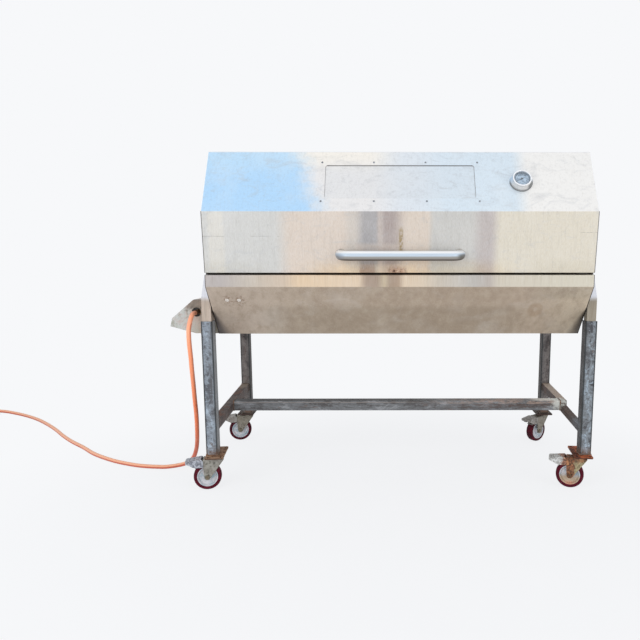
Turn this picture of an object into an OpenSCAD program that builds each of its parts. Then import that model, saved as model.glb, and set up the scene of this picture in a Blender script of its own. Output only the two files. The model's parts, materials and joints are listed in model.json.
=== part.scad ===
// Gas hog roast machine: a hinged stainless hood over a folded trough,
// carried on a welded box-section trolley with braked swivel casters.
// Millimetres. +Z up, +X to the machine's right, +Y to its back.

/* [Body] */
// Length of the trough and the hood over their end plates
body_length = 1650; // [1500:10:1850]
// Depth of the trough over its front and rear lips
body_depth = 945; // [900:5:1050]
// Thickness of the folded sheets
sheet = 2; // [1.5:0.5:3]
// Thickness of the flat end plates
end_plate = 3; // [2:0.5:5]
// Inside radius of every fold
fold_r = 3; // [2:0.5:6]

/* [Trough] */
// Height of the upright lip round the trough
lip_h = 51; // [40:1:70]
// Height of the sloping front and back below the lip
slope_drop = 225; // [180:5:250]
// How far the slopes run in towards the floor of the trough
slope_inset = 189; // [150:1:220]
// Width of the flange folded in along the rim
rim_flange = 20; // [12:1:28]
// Length of one air slot in the floor
air_slot_l = 120; // [60:5:150]
// Width of one air slot
air_slot_w = 14; // [8:1:20]
// Distance of the two dome bolts from the left end
bolt_from_end = 78; // [60:1:120]
// Distance between the two dome bolts
bolt_pitch = 52; // [40:1:80]
// Distance of the dome bolts below the lip, down the slope
bolt_down = 77; // [50:1:120]
// Diameter of the dome bolts' heads
dome_d = 17; // [12:0.5:20]

/* [Hood] */
// Height of the gap between the rim and the hood's front edge
lid_gap = 8; // [5:1:14]
// Height of the hood's front and back panels
panel_h = 254; // [200:1:300]
// How far those panels lean out at the top
panel_lean = 22; // [10:1:35]
// Height of the hood's upper slopes
upper_h = 261; // [245:1:300]
// How far the upper slopes run in to the flat top
upper_run = 150; // [140:1:200]
// Width of the hem folded in along the hood's lower edges
hem = 12; // [8:1:18]

/* [Window] */
// Length of the aperture in the front upper slope
window_l = 634; // [500:2:700]
// Height of the aperture along the slope
window_h = 168; // [120:2:180]
// Distance of the aperture above the fold
window_up = 63; // [50:1:90]
// Corner radius of the aperture
window_r = 12; // [6:1:20]
// Width of the cover plate behind the aperture's edges
window_lap = 30; // [20:1:36]
// Distance of the screws outside the aperture's edges
screw_out = 14; // [9:1:18]
// Diameter of the screw heads
screw_head_d = 9; // [6:0.5:11]

/* [Handle] */
// Length of the hood handle over its bends
handle_l = 541; // [400:1:640]
// Diameter of the handle tube
handle_d = 42; // [32:1:45]
// Distance of the bar's axis from the panel
handle_out = 60; // [50:1:80]
// Height of the handle above the hood's front edge
handle_up = 78; // [60:1:110]
// Radius of the tube's bends on its axis
handle_bend = 42; // [36:1:50]

/* [Thermometer] */
// Distance of the thermometer from the right end
thermo_from_end = 314; // [260:1:400]
// Distance of the thermometer above the fold
thermo_up = 146; // [120:1:170]
// Diameter of the base of its bezel
thermo_d = 98; // [88:1:110]
// Diameter of the dial
dial_d = 68; // [55:1:72]
// Height of the bezel off the hood
thermo_h = 30; // [24:1:36]
// Length of the stem inside the hood
stem_l = 60; // [40:2:80]

/* [Hinges] */
// Length of one hinge
hinge_l = 90; // [60:5:120]
// Distance of the outer hinges from the middle one
hinge_pitch = 560; // [400:10:640]
// Diameter of the hinge barrels
barrel_d = 14; // [12:1:18]
// Diameter of the hinge pins
hinge_pin_d = 6; // [5:0.5:8]
// Width of one hinge leaf
leaf_w = 34; // [26:1:40]
// Thickness of the hinge leaves
leaf_t = 2.5; // [2:0.5:3]

/* [Trolley] */
// Width of the legs' square tube
leg_w = 50; // [45:1:60]
// Wall of the legs
leg_wall = 4; // [3:0.5:5]
// Length of the legs
leg_len = 612; // [540:2:700]
// Distance of the legs' faces from the front and rear lips
leg_inset = 84; // [70:1:110]
// Width of the side rails' square tube
rail_w = 40; // [35:1:50]
// Wall of the rails and the stretcher
rail_wall = 3; // [2:0.5:4]
// Height of the side rails' top above the front legs' feet
rail_front_up = 138; // [92:2:230]
// Height of the side rails' top above the rear legs' feet
rail_rear_up = 174; // [92:2:230]
// Width of the slimmer tube that the right-hand rail has in front
slim_w = 30; // [25:1:35]
// Height of that tube's top above the front leg's foot
slim_front_up = 116; // [80:2:140]
// Drop of that tube's top below the rear tube's, where they meet
slim_step = 14; // [0:1:16]
// Width of the stretcher's square tube
stretcher_w = 50; // [35:1:55]
// Height of the stretcher's middle above the legs' feet
stretcher_up = 138; // [120:1:150]

/* [Uprights] */
// Clearance of the stainless uprights inside the legs, each side
spigot_gap = 0.5; // [0.3:0.1:1.5]
// Wall of the uprights
upright_wall = 3; // [2:0.5:4]
// Height of the uprights above the legs, up to the rim
upright_h = 208; // [170:2:240]
// Depth of the spigots inside the legs
spigot = 100; // [60:5:140]
// Length of the chamfer at the uprights' outer top edge
chamfer_h = 105; // [60:5:120]
// Depth of that chamfer
chamfer_w = 19; // [8:1:22]

/* [Casters] */
// Height of the trolley's legs above the floor
caster_h = 168; // [160:1:185]
// Diameter of the wheels
wheel_d = 125; // [100:1:130]
// Width of the tyres
tyre_w = 40; // [32:1:44]
// Thickness of the tyres
tyre_t = 16; // [10:0.5:20]
// Distance of the axle behind the swivel axis
trail = 46; // [38:1:50]
// Width of the front top plates
front_plate_w = 82; // [78:1:90]
// Length of the front top plates, front to back
front_plate_l = 172; // [150:1:180]
// Turn of the front top plates, their back ends outwards
plate_splay = 5.5; // [0:0.5:8]
// Width of the rear top plates
rear_plate_w = 90; // [84:1:100]
// Length of the rear top plates, front to back
rear_plate_l = 150; // [130:1:170]
// Thickness of the top plates
plate_t = 6; // [5:0.5:8]
// Diameter of the swivel raceways
race_d = 62; // [56:1:70]
// Diameter of the axle bolts
axle_d = 12; // [10:1:12]
// Thickness of the fork plates
fork_t = 4; // [3:0.5:5]
// Distance of the front swivel axes outside the trough's ends
front_axis_out = 11; // [6:1:30]
// Distance of the rear swivel axes outside the trough's ends
rear_axis_out = 23; // [6:1:30]
// Distance of the front swivel axes behind the front legs' middle
front_axis_back = 14; // [0:1:24]
// Distance of the rear swivel axes behind the rear legs' middle
rear_axis_back = 28; // [0:1:36]
// Distance of the pedals' tips from the swivel axes
pedal_reach = 142; // [134:1:150]
// Thickness of the pedals' sheet
pedal_t = 2.5; // [2:0.5:3]

/* [Burners] */
// Diameter of the burner tubes
burner_d = 42; // [34:1:48]
// Wall of the burner tubes
burner_wall = 2; // [1.5:0.5:3]
// Distance of the burners from the middle of the trough
burner_y = 150; // [110:5:180]
// Height of the burners above the floor of the trough
burner_up = 53; // [45:1:60]
// Width of the angle baffles over the burners
baffle_w = 84; // [64:2:100]

/* [Roasting tray] */
// Depth of the roasting tray
tray_h = 66; // [40:2:70]
// Gap between the tray and the end plates
tray_end_gap = 22; // [12:1:40]
// Width of the tray's flanges
tray_flange = 40; // [30:1:50]
// Width of the ledges that carry the tray
ledge_w = 40; // [34:1:46]
// Thickness of the ledges
ledge_t = 3; // [2:0.5:4]

/* [Gas inlet] */
// Distance of the guard's front plate behind the front lip
guard_front = 190; // [185:1:220]
// Reach of the guard's top beyond the end plate
guard_top_x = 112; // [100:1:125]
// Reach of the guard's outer edge beyond the end plate
guard_reach = 221; // [200:1:240]
// Diameter of the hose hole in the guard
port_d = 39; // [32:1:44]
// Distance of the hose hole from the end plate
port_x = 98; // [90:1:110]
// Height of the hose hole above the floor of the trough
port_up = 98; // [90:1:106]
// Height of the guard's top above the hose hole
guard_head = 58; // [54:1:64]
// Diameter of the gas pipes
pipe_d = 21; // [16:1:24]
// Distance of the valve before the guard's rear plate
valve_back = 155; // [145:5:170]
// Overhang of the manifold past the burners
manifold_over = 24; // [20:1:28]
// Diameter of the control knob
knob_d = 40; // [32:1:46]

/* [Gas hose] */
// Outer diameter of the hose
hose_d = 20; // [15:1:20]
// Diameter of the crimped ferrules
ferrule_d = 22; // [21:1:26]
// Length of the ferrules
ferrule_l = 40; // [30:1:50]
// Diameter of the regulator's body
regulator_d = 70; // [60:1:80]
// Height of the regulator's body
regulator_h = 46; // [44:1:52]
// Diameter of the cylinder connector's nose
nose_d = 21; // [18:0.5:22]

/* [Hidden] */

$fn = 64;
eps = 0.01;        // overshoot of a cut
rest_gap = 0.3;    // gap of a piece that rests on another body
seat_gap = 0.02;   // seating gap of the plate bolted under the slope
run_gap = 0.05;    // radial clearance of a running fit
end_x = body_length / 2;
thermo_x = end_x - thermo_from_end;
front_axis_x = end_x + front_axis_out;
rear_axis_x = end_x + rear_axis_out;
plate_out = 4;     // distance of the front top plates' middle outside the swivel axis
plate_back = 4;    // distance of their middle behind it
upright_w = leg_w - 2 * leg_wall - 2 * spigot_gap;
inner_x = end_x - end_plate;
mid_depth = body_depth / 2;

// Heights of the trolley and the trough
leg_top = caster_h + leg_len;
rim_z = leg_top + upright_h;
kink_z = rim_z - lip_h;
floor_z = kink_z - slope_drop;
port_z = floor_z + port_up;
rail_front_z = caster_h + rail_front_up;
rail_rear_z = caster_h + rail_rear_up;
stretcher_z = caster_h + stretcher_up;

// Heights of the hood
lid_z = rim_z + lid_gap;
fold_z = lid_z + panel_h;
ridge_z = fold_z + upper_h;
upper_angle = atan2(upper_h, upper_run);
upper_len = norm([upper_run, upper_h]);
lean_angle = atan2(panel_lean, panel_h);

// Legs
leg_x = end_x + leg_w / 2;
leg_front_y = leg_inset + leg_w / 2;
leg_rear_y = body_depth - leg_front_y;
rail_y0 = leg_front_y + leg_w / 2;
rail_y1 = leg_rear_y - leg_w / 2;

// Hinge axis, just behind the rear lip and under the hood's rear edge
hinge_y = body_depth + barrel_d / 2 + 1;
hinge_z = rim_z + lid_gap / 2;

// Guard at the left end
guard_rear = body_depth - guard_front;
guard_skirt = 32;  // rise of the plates' lower edge to the guard's side
guard_side_h = 37; // height of the guard's upright side
guard_lean = 9;    // lean of that side
guard_toe = 6;     // foot of the plates outside the hose hole's middle
guard_top_z = port_z + guard_head;
guard_low_z = floor_z + sheet;
guard_side_low_z = guard_low_z + guard_skirt;
guard_side_top_z = guard_side_low_z + guard_side_h;
guard_drop = guard_top_z - guard_side_top_z;
guard_run = guard_reach - guard_lean - guard_top_x;
guard_angle = atan2(guard_drop, guard_run);
port_at = [-end_x - port_x, guard_front, port_z];
valve_y = guard_rear - valve_back;
burner_z = floor_z + burner_up;

// Extents that set the row's origin at the middle of the footprint
left_reach = end_x + guard_reach;
right_reach = rear_axis_x + rear_plate_w / 2;
bar_y = -handle_up * sin(lean_angle) - handle_out * cos(lean_angle);
mid_x = (right_reach - left_reach) / 2;
front_reach = bar_y - handle_d / 2;
rear_reach = body_depth + panel_lean;
mid_y = (front_reach + rear_reach) / 2;

// Casters: how far each swivel axis is off its even place, as welded, and the
// turn of its fork, with the trail pointing along the turn
front_axis_y = leg_front_y + front_axis_back;
rear_axis_y = leg_rear_y + rear_axis_back;
fl_shift = [0, 0];
fr_shift = [4, -9];
rl_shift = [-9, 6];
rr_shift = [0, -6];
fl_turn = 191;
fr_turn = 162;
rl_turn = 190;
rr_turn = 217;

// Profile of the trough from its front flange to its rear one, outer side
trough_path = [
  [rim_flange, rim_z], [0, rim_z], [0, kink_z],
  [slope_inset, floor_z], [body_depth - slope_inset, floor_z],
  [body_depth, kink_z], [body_depth, rim_z], [body_depth - rim_flange, rim_z],
];

// Profile of the hood from its rear hem to its front one, outer side
lid_path = [
  [body_depth - hem, lid_z], [body_depth, lid_z],
  [body_depth + panel_lean, fold_z], [body_depth - upper_run + panel_lean, ridge_z],
  [upper_run - panel_lean, ridge_z], [-panel_lean, fold_z],
  [0, lid_z], [hem, lid_z],
];

// Route of the hose from the ferrule's face, chosen to hang and lie as the
// real hose does: out of the guard, down to the floor and away to the back
hose_route = [
  [0, 0, 0], [0, -15, 0], [0, -41, -4], [1, -65, -16], [1, -86, -36],
  [0, -99, -62], [0, -103, -90], [0, -101, -122], [-1, -92, -158],
  [-3, -78, -198], [-7, -60, -246], [-14, -26, -318], [-21, 8, -406],
  [-27, 38, -474], [-36, 70, -542], [-51, 112, -626], [-67, 142, -686],
  [-92, 170, -737], [-132, 192, -773], [-186, 203, -791], [-260, 206, -800],
  [-360, 219, -800], [-450, 250, -800], [-560, 307, -800], [-695, 405, -800],
  [-810, 518, -800], [-925, 622, -800], [-1035, 736, -800],
  [-1140, 856, -800], [-1265, 984, -800], [-1395, 1100, -800],
  [-1530, 1190, -798], [-1660, 1240, -790], [-1740, 1252, -786],
];
hose_steps = 2;
hose_sides = 10;
ferrule_out = 26;
hose_exit = port_at - [0, ferrule_out, 0];
hose_end = hose_route[len(hose_route) - 1];
hose_last = hose_end - hose_route[len(hose_route) - 2];
hose_end_turn = atan2(hose_last[1], hose_last[0]);

// Plane geometry of folded sheets
function unit(v) = v / norm(v);
function side(v) = [-v[1], v[0]];
function spin(v, a) = [v[0] * cos(a) - v[1] * sin(a), v[0] * sin(a) + v[1] * cos(a)];
function turn_at(a, b, c) = let (u = unit(b - a), v = unit(c - b))
  atan2(u[0] * v[1] - u[1] * v[0], u * v);
function shift_at(a, b, c, t) = let (m = side(unit(b - a)), n = side(unit(c - b)))
  b + (m + n) * t / (1 + m * n);
function shifted(path, t) = let (n = len(path)) [
  for (i = [0:n - 1])
    i == 0 ? path[0] + side(unit(path[1] - path[0])) * t
    : i == n - 1 ? path[n - 1] + side(unit(path[n - 1] - path[n - 2])) * t
    : shift_at(path[i - 1], path[i], path[i + 1], t)
];
function arc_at(a, b, c, r) = let (
    u = unit(b - a), angle = turn_at(a, b, c), s = sign(angle),
    start = b - u * r * tan(abs(angle) / 2),
    centre = start + side(u) * s * r, steps = 4)
  [for (k = [0:steps]) centre - spin(side(u) * s * r, angle * k / steps)];
function folded(path, r_left, r_right) = let (n = len(path)) [
  path[0],
  for (i = [1:n - 2])
    for (p = arc_at(path[i - 1], path[i], path[i + 1],
         turn_at(path[i - 1], path[i], path[i + 1]) > 0 ? r_left : r_right)) p,
  path[n - 1],
];
function reversed(list) = [for (i = [len(list) - 1:-1:0]) list[i]];

// Closed outline of a sheet of thickness t to the left of a path
function sheet_outline(path, t, r) = concat(
  folded(path, r + t, r), reversed(folded(shifted(path, t), r, r + t)));

// Point k of a smooth curve through the route's points
function route_point(path, i, f) = let (
    n = len(path), p0 = path[max(i - 1, 0)], p1 = path[i],
    p2 = path[min(i + 1, n - 1)], p3 = path[min(i + 2, n - 1)])
  (p1 * 2 + (p2 - p0) * f + (p0 * 2 - p1 * 5 + p2 * 4 - p3) * f * f
   + (p1 * 3 - p0 - p2 * 3 + p3) * f * f * f) / 2;
function smooth_route(path, steps) = [
  for (i = [0:len(path) - 2]) for (k = [0:steps - 1]) route_point(path, i, k / steps),
  path[len(path) - 1],
];
function tangent(path, i) = unit(path[min(i + 1, len(path) - 1)] - path[max(i - 1, 0)]);

// Direction of the hose at point i, square to the ferrules at its two ends
function hose_direction(path, i) =
  i == 0 ? [0, -1, 0]
  : i == len(path) - 1 ? [cos(hose_end_turn), sin(hose_end_turn), 0]
  : tangent(path, i);

// The row's origin is the middle of the footprint on the floor
module place() translate([-mid_x, -mid_y, 0]) children();

// Lays a profile of [y, z] points along X between two places
module along_x(x0, x1) translate([x0, 0, 0]) rotate([90, 0, 90])
  linear_extrude(x1 - x0) children();

module box_between(a, b) translate(a) cube(b - a);

module rounded_rect(size, r) {
  square([size[0] - 2 * r, size[1]], center = true);
  square([size[0], size[1] - 2 * r], center = true);
  for (x = [-1, 1], y = [-1, 1])
    translate([x * (size[0] / 2 - r), y * (size[1] / 2 - r)]) circle(r);
}

module square_tube(length, w, wall) difference() {
  translate([-w / 2, -w / 2, 0]) cube([w, w, length]);
  translate([-w / 2 + wall, -w / 2 + wall, -eps])
    cube([w - 2 * wall, w - 2 * wall, length + 2 * eps]);
}

// Frame of the hood's front upper slope: X along the hood, Y up the slope
module on_upper_slope() translate([0, -panel_lean, fold_z])
  rotate([upper_angle, 0, 0]) children();

// Frame of the hood's front panel: X along the hood, Y up the panel
module on_front_panel() translate([0, 0, lid_z])
  rotate([90 + lean_angle, 0, 0]) children();

// Frame of the trough's front slope: X along the trough, Y up the slope
slope_angle = atan2(slope_drop, slope_inset);
module on_trough_slope() translate([0, 0, kink_z])
  rotate([180 - slope_angle, 0, 0]) children();

// Frame of the guard's sloping top, its Z out of the sheet
module on_guard_slope() translate([-end_x - guard_top_x, 0, guard_top_z])
  rotate([0, -guard_angle, 0]) children();

// Trolley
module leg(side_x, y) color("slategray") place()
  translate([side_x * leg_x, y, caster_h]) {
    square_tube(leg_len, leg_w, leg_wall);
    // plate that the upright's spigot stands on
    translate([-leg_w / 2 + leg_wall, -leg_w / 2 + leg_wall, leg_len - spigot - leg_wall])
      cube([leg_w - 2 * leg_wall, leg_w - 2 * leg_wall, leg_wall]);
  }

// Height of the side rails' top at a depth
function rail_z(y) = rail_front_z
  + (rail_rear_z - rail_front_z) * (y - rail_y0) / (rail_y1 - rail_y0);

// Side rail, flush with the legs' outer faces, falling to the front. From the
// stretcher forwards the right-hand one is a slimmer tube.
module side_rail(side_x) color("dimgray") place() {
  x0 = side_x > 0 ? leg_x + leg_w / 2 - rail_w : -leg_x - leg_w / 2;
  start = side_x > 0 ? mid_depth : rail_y0;
  cap = side_x > 0 ? rail_wall : 0;
  rail_tube(x0, [start, rail_z(start)], [rail_y1, rail_rear_z], rail_w, cap);
  if (side_x > 0) rail_tube(x0, [rail_y0, caster_h + slim_front_up],
    [mid_depth, rail_z(mid_depth) - slim_step], slim_w, 0);
}

// Square tube whose top runs from a to b, both [y, z], with its ends cut
// upright and the front one closed by a plate of thickness cap
module rail_tube(x0, a, b, w, cap) difference() {
  translate([x0, 0, 0]) rail_body(a, b, w, 0, 0, 0);
  translate([x0 + rail_wall, 0, 0])
    rail_body(a, b, w, rail_wall, cap > 0 ? cap : -eps, eps);
}
module rail_body(a, b, w, wall, inset, over) {
  fall = (b[1] - a[1]) / (b[0] - a[0]);
  y0 = a[0] + inset;
  y1 = b[0] + over;
  z0 = a[1] + fall * inset - wall;
  z1 = b[1] + fall * over - wall;
  h = w - 2 * wall;
  along_x(0, h) polygon([[y0, z0], [y1, z1], [y1, z1 - h], [y0, z0 - h]]);
}

// Stretcher between the side rails, halfway along them
module stretcher_bar() color("dimgray") place() {
  half = leg_x + leg_w / 2 - rail_w;
  translate([-half, mid_depth, stretcher_z]) rotate([0, 90, 0])
    square_tube(2 * half, stretcher_w, rail_wall);
}

// Stainless upright: a spigot in the leg, a chamfered top under the rim
// and a packer against the trough's end plate
module upright(side_x, y) {
  top = rim_z - sheet;
  outer = leg_x + upright_w / 2;
  packer = leg_x - upright_w / 2 - end_x;
  mirror([side_x < 0 ? 1 : 0, 0, 0]) difference() {
    union() {
      translate([leg_x, y, leg_top - spigot])
        square_tube(top - leg_top + spigot, upright_w, upright_wall);
      box_between([end_x, y - upright_w / 2, kink_z], [end_x + packer, y + upright_w / 2, top]);
      box_between([end_x + packer, y - upright_w / 2, top - upright_wall],
        [outer, y + upright_w / 2, top]);
      // closing plate behind the chamfer
      intersection() {
        box_between([end_x + packer, y - upright_w / 2, top - chamfer_h],
          [outer, y + upright_w / 2, top]);
        translate([outer - chamfer_w, y, top]) rotate([0, atan2(chamfer_w, chamfer_h), 0])
          translate([-upright_wall * 1.5, -upright_w / 2, -chamfer_h * 1.2])
          rotate([0, -2 * atan2(chamfer_w, chamfer_h), 0])
          cube([upright_wall * 1.5, upright_w, chamfer_h * 1.4]);
      }
    }
    translate([outer - chamfer_w, y - upright_w, top])
      rotate([0, -atan2(chamfer_w, chamfer_h), 0])
      translate([0, 0, -chamfer_h * 1.3]) cube([leg_w, 2 * upright_w, chamfer_h * 1.6]);
  }
}

module uprights(side_x) color("gainsboro") place()
  for (y = [leg_front_y, leg_rear_y]) upright(side_x, y);

// Trough
module trough_shell() color("silver") place() difference() {
  along_x(-inner_x, inner_x) polygon(sheet_outline(trough_path, sheet, fold_r));
  // air slots in the floor, in two rows under the burners
  count = floor((2 * inner_x - air_slot_l) / (air_slot_l * 1.6));
  for (i = [0:count - 1], y = [-1, 1])
    translate([(i - (count - 1) / 2) * air_slot_l * 1.6, mid_depth + y * burner_y, floor_z])
      linear_extrude(4 * sheet, center = true)
        rounded_rect([air_slot_l, air_slot_w], air_slot_w / 2 - eps);
  bolt_holes();
}

function bolt_x(i) = -end_x + bolt_from_end + i * bolt_pitch;

module bolt_holes() for (i = [0, 1]) on_trough_slope()
  translate([bolt_x(i), -bolt_down, -3 * sheet]) cylinder(d = dome_d * 0.5, h = 6 * sheet);

module trough_end(side_x) color("silver") place()
mirror([side_x < 0 ? 1 : 0, 0, 0]) difference() {
  union() {
    along_x(inner_x, end_x) polygon(folded(trough_path, fold_r + sheet, fold_r));
    // flange that the hood's end rests on
    box_between([inner_x - rim_flange + end_plate, rim_flange, rim_z - sheet],
      [inner_x, body_depth - rim_flange, rim_z]);
  }
  if (side_x < 0) for (y = [-1, 1]) translate([0, mid_depth + y * burner_y, burner_z])
    rotate([0, 90, 0]) cylinder(d = burner_d, h = 2 * end_x);
}

// Dome-head bolts with their nuts inside the slope
module trough_bolts() color("lightgray") place() for (i = [0, 1]) on_trough_slope()
  translate([bolt_x(i), -bolt_down, 0]) {
    intersection() {
      translate([0, 0, dome_d * 0.35 - dome_d * 0.72]) sphere(d = dome_d * 1.44);
      cylinder(d = dome_d, h = dome_d);
    }
    translate([0, 0, -sheet - dome_d * 0.45]) cylinder(d = dome_d * 0.5, h = dome_d);
    translate([0, 0, -sheet - dome_d * 0.35])
      cylinder(d = dome_d * 0.9, h = dome_d * 0.35, $fn = 6);
  }

// Angles on the lips that carry the roasting tray
ledge_z = kink_z + 10;
ledge_up = 24;
module ledge() along_x(-inner_x, inner_x) polygon([
  [sheet, ledge_z], [sheet + ledge_w, ledge_z], [sheet + ledge_w, ledge_z + ledge_t],
  [sheet + ledge_t, ledge_z + ledge_t], [sheet + ledge_t, ledge_z + ledge_up],
  [sheet, ledge_z + ledge_up],
]);
module tray_ledges() color("silver") place() {
  ledge();
  translate([0, body_depth, 0]) mirror([0, 1, 0]) ledge();
}

// Roasting tray, hung by its flanges on the ledges
tray_x = inner_x - tray_end_gap;
tray_top = ledge_z + ledge_t + sheet;
tray_front = rim_flange + 3;
module roasting_tray() color("lightgray") place() {
  wall_in = 10;
  bottom = tray_top - tray_h;
  y0 = tray_front;
  y1 = y0 + tray_flange;
  path = [
    [y0, tray_top], [y1, tray_top], [y1 + wall_in, bottom],
    [body_depth - y1 - wall_in, bottom], [body_depth - y1, tray_top],
    [body_depth - y0, tray_top],
  ];
  under = [for (p = path) p - [0, sheet]];
  along_x(-tray_x, tray_x) polygon(sheet_outline(under, sheet, fold_r));
  for (s = [-1, 1]) translate([s * (tray_x - sheet / 2), 0, 0])
    along_x(-sheet / 2, sheet / 2) polygon([
      [y1 + 1, tray_top - sheet], [y1 + wall_in + sheet / 2, bottom - sheet / 2],
      [body_depth - y1 - wall_in - sheet / 2, bottom - sheet / 2],
      [body_depth - y1 - 1, tray_top - sheet],
    ]);
}

// Slotted tube burner with a jet disc in its mouth and a spigot at its far end
module burner(y) color("dimgray") place() translate([0, y, burner_z]) rotate([0, 90, 0]) {
  mouth = -end_x - 22;
  slots = floor((2 * inner_x - 160) / 60);
  difference() {
    translate([0, 0, mouth]) cylinder(d = burner_d, h = inner_x - mouth);
    translate([0, 0, mouth + 4]) cylinder(d = burner_d - 2 * burner_wall, h = inner_x - mouth - 8);
    translate([0, 0, mouth - eps]) cylinder(d = pipe_d * 0.5, h = 5);
    for (i = [0:slots - 1], s = [-1, 1])
      translate([-burner_d / 2, s * burner_d * 0.24, -inner_x + 110 + i * 60])
        cube([burner_d * 0.5, 10, 2.5], center = true);
  }
}

// Angle baffles over the burners, from end plate to end plate
module flame_baffles() color("darkgray") place() for (s = [-1, 1]) {
  top = burner_z + burner_d / 2 + 38;
  y = mid_depth + s * burner_y;
  along_x(-inner_x, inner_x) polygon([
    [y - baffle_w / 2, top - 20], [y, top], [y + baffle_w / 2, top - 20],
    [y + baffle_w / 2, top - 20 - sheet], [y, top - sheet], [y - baffle_w / 2, top - 20 - sheet],
  ]);
}

// Gas train behind the guard
module gas_manifold() color("goldenrod") place() {
  x = port_at[0];
  reach = burner_y + manifold_over;
  cap_l = pipe_d * 0.43;
  translate([x, mid_depth - reach, burner_z]) rotate([-90, 0, 0])
    cylinder(d = pipe_d, h = 2 * reach);
  for (s = [-1, 1]) translate([x, mid_depth + s * burner_y, burner_z]) rotate([0, 90, 0]) {
    cylinder(d = pipe_d * 0.8, h = port_x - 22);
    cylinder(d = pipe_d * 1.15, h = pipe_d * 0.8, $fn = 6);
    translate([0, 0, port_x - 22]) cylinder(d = pipe_d * 0.5, h = 4);
  }
  // caps on the pipe's ends
  for (s = [-1, 1]) translate([x, mid_depth + s * reach, burner_z]) rotate([s * 90, 0, 0])
    translate([0, 0, -cap_l]) cylinder(d = pipe_d * 1.3, h = cap_l, $fn = 6);
}

module gas_valve() color("goldenrod") place() {
  at = [port_at[0], valve_y, port_z];
  foot = port_z - burner_z - pipe_d / 2;
  // inlet pipe from the hose port
  pipe_y = hose_exit[1] + ferrule_l;
  translate([at[0], pipe_y, port_z]) rotate([-90, 0, 0])
    cylinder(d = pipe_d * 0.72, h = valve_y - pipe_y);
  translate([at[0], pipe_y + 10, port_z]) rotate([-90, 0, 0])
    cylinder(d = pipe_d * 1.2, h = 14, $fn = 6);
  // body, outlet leg down to the manifold and the union round it
  translate(at) sphere(d = pipe_d * 1.7);
  translate([at[0], valve_y, burner_z + pipe_d / 2 - 2]) difference() {
    cylinder(d = pipe_d * 0.72, h = foot + 2);
    translate([0, -pipe_d, 2 - pipe_d / 2]) rotate([-90, 0, 0])
      cylinder(d = pipe_d, h = 2 * pipe_d);
  }
  translate([at[0], valve_y, port_z - pipe_d * 1.6])
    cylinder(d = pipe_d * 1.2, h = 12, $fn = 6);
  // spindle through the guard's slope, with its locknut against the sheet
  on_valve_axis() {
    cylinder(d = 14, h = spindle_reach - sheet - 4);
    translate([0, 0, spindle_reach - sheet - 8]) cylinder(d = 22, h = 8 - rest_gap, $fn = 6);
    cylinder(d = 10, h = spindle_reach + 6);
    cylinder(d = 6, h = spindle_reach + 20);
  }
}

// Distance from the valve's centre to the guard's sloping face
spindle_reach = (guard_top_z - port_z) * cos(guard_angle)
  - (port_x - guard_top_x) * sin(guard_angle);
module on_valve_axis() translate([port_at[0], valve_y, port_z])
  rotate([0, -guard_angle, 0]) children();

// Control knob with a raised grip and a blind bore on the spindle
module valve_knob() color("black") place() on_valve_axis() difference() {
  union() {
    translate([0, 0, spindle_reach + 8]) cylinder(d = knob_d, h = 8);
    translate([0, 0, spindle_reach + 16]) cylinder(d1 = knob_d * 0.92, d2 = knob_d * 0.78, h = 4);
    translate([-knob_d * 0.12, -knob_d * 0.42, spindle_reach + 16])
      cube([knob_d * 0.24, knob_d * 0.84, 15]);
  }
  translate([0, 0, spindle_reach]) cylinder(d = 6 + 2 * run_gap, h = 21);
}

// Folded guard round the gas train: plates front and back, wrap over the top,
// open underneath for air
guard_profile = [
  [-end_x, guard_top_z], [-end_x - guard_top_x, guard_top_z],
  [-end_x - guard_reach + guard_lean, guard_side_top_z],
  [-end_x - guard_reach, guard_side_low_z],
];
module guard_plate(y) translate([0, y + sheet, 0]) rotate([90, 0, 0]) linear_extrude(sheet)
  polygon(concat(guard_profile, [[-end_x - port_x - guard_toe, guard_low_z], [-end_x, guard_low_z]]));
module inlet_guard() color("silver") place() difference() {
  union() {
    guard_plate(guard_front);
    guard_plate(guard_rear - sheet);
    translate([0, guard_rear, 0]) rotate([90, 0, 0]) linear_extrude(guard_rear - guard_front)
      polygon(sheet_outline(guard_profile, sheet, fold_r));
  }
  translate(port_at - [0, sheet, 0]) rotate([-90, 0, 0]) cylinder(d = port_d, h = 3 * sheet);
  on_valve_axis() translate([0, 0, spindle_reach - 2 * sheet]) cylinder(d = 11, h = 4 * sheet);
}

// Hinges along the rear rim
function hinge_x(i) = (i - 1) * hinge_pitch;
knuckle = hinge_l / 5;
module barrels(first, grow) for (k = [first:2:4]) difference() {
  translate([-hinge_l / 2 + k * knuckle + grow, 0, 0]) rotate([0, 90, 0])
    cylinder(d = barrel_d, h = knuckle - 2 * grow);
  translate([-hinge_l, 0, 0]) rotate([0, 90, 0])
    cylinder(d = hinge_pin_d + 2 * run_gap * (first == 1 ? 1 : 0), h = 2 * hinge_l);
}
module hinge_leaves_lower() color("silver") place() for (i = [0:2]) translate([hinge_x(i), 0, 0]) {
  translate([0, hinge_y, hinge_z]) barrels(0, 0);
  difference() {
    box_between([-hinge_l / 2, body_depth, hinge_z - leaf_w],
      [hinge_l / 2, body_depth + leaf_t, hinge_z - 1]);
    for (k = [1, 3]) box_between(
      [-hinge_l / 2 + k * knuckle - 0.5, body_depth - 1, hinge_z - barrel_d / 2 - 1],
      [-hinge_l / 2 + (k + 1) * knuckle + 0.5, hinge_y, hinge_z]);
  }
}
module hinge_pins() color("gainsboro") place() for (i = [0:2])
  translate([hinge_x(i) - hinge_l / 2 - 2, hinge_y, hinge_z]) rotate([0, 90, 0]) {
    cylinder(d = hinge_pin_d, h = hinge_l + 4);
    cylinder(d = hinge_pin_d * 1.5, h = 2);
  }
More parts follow.
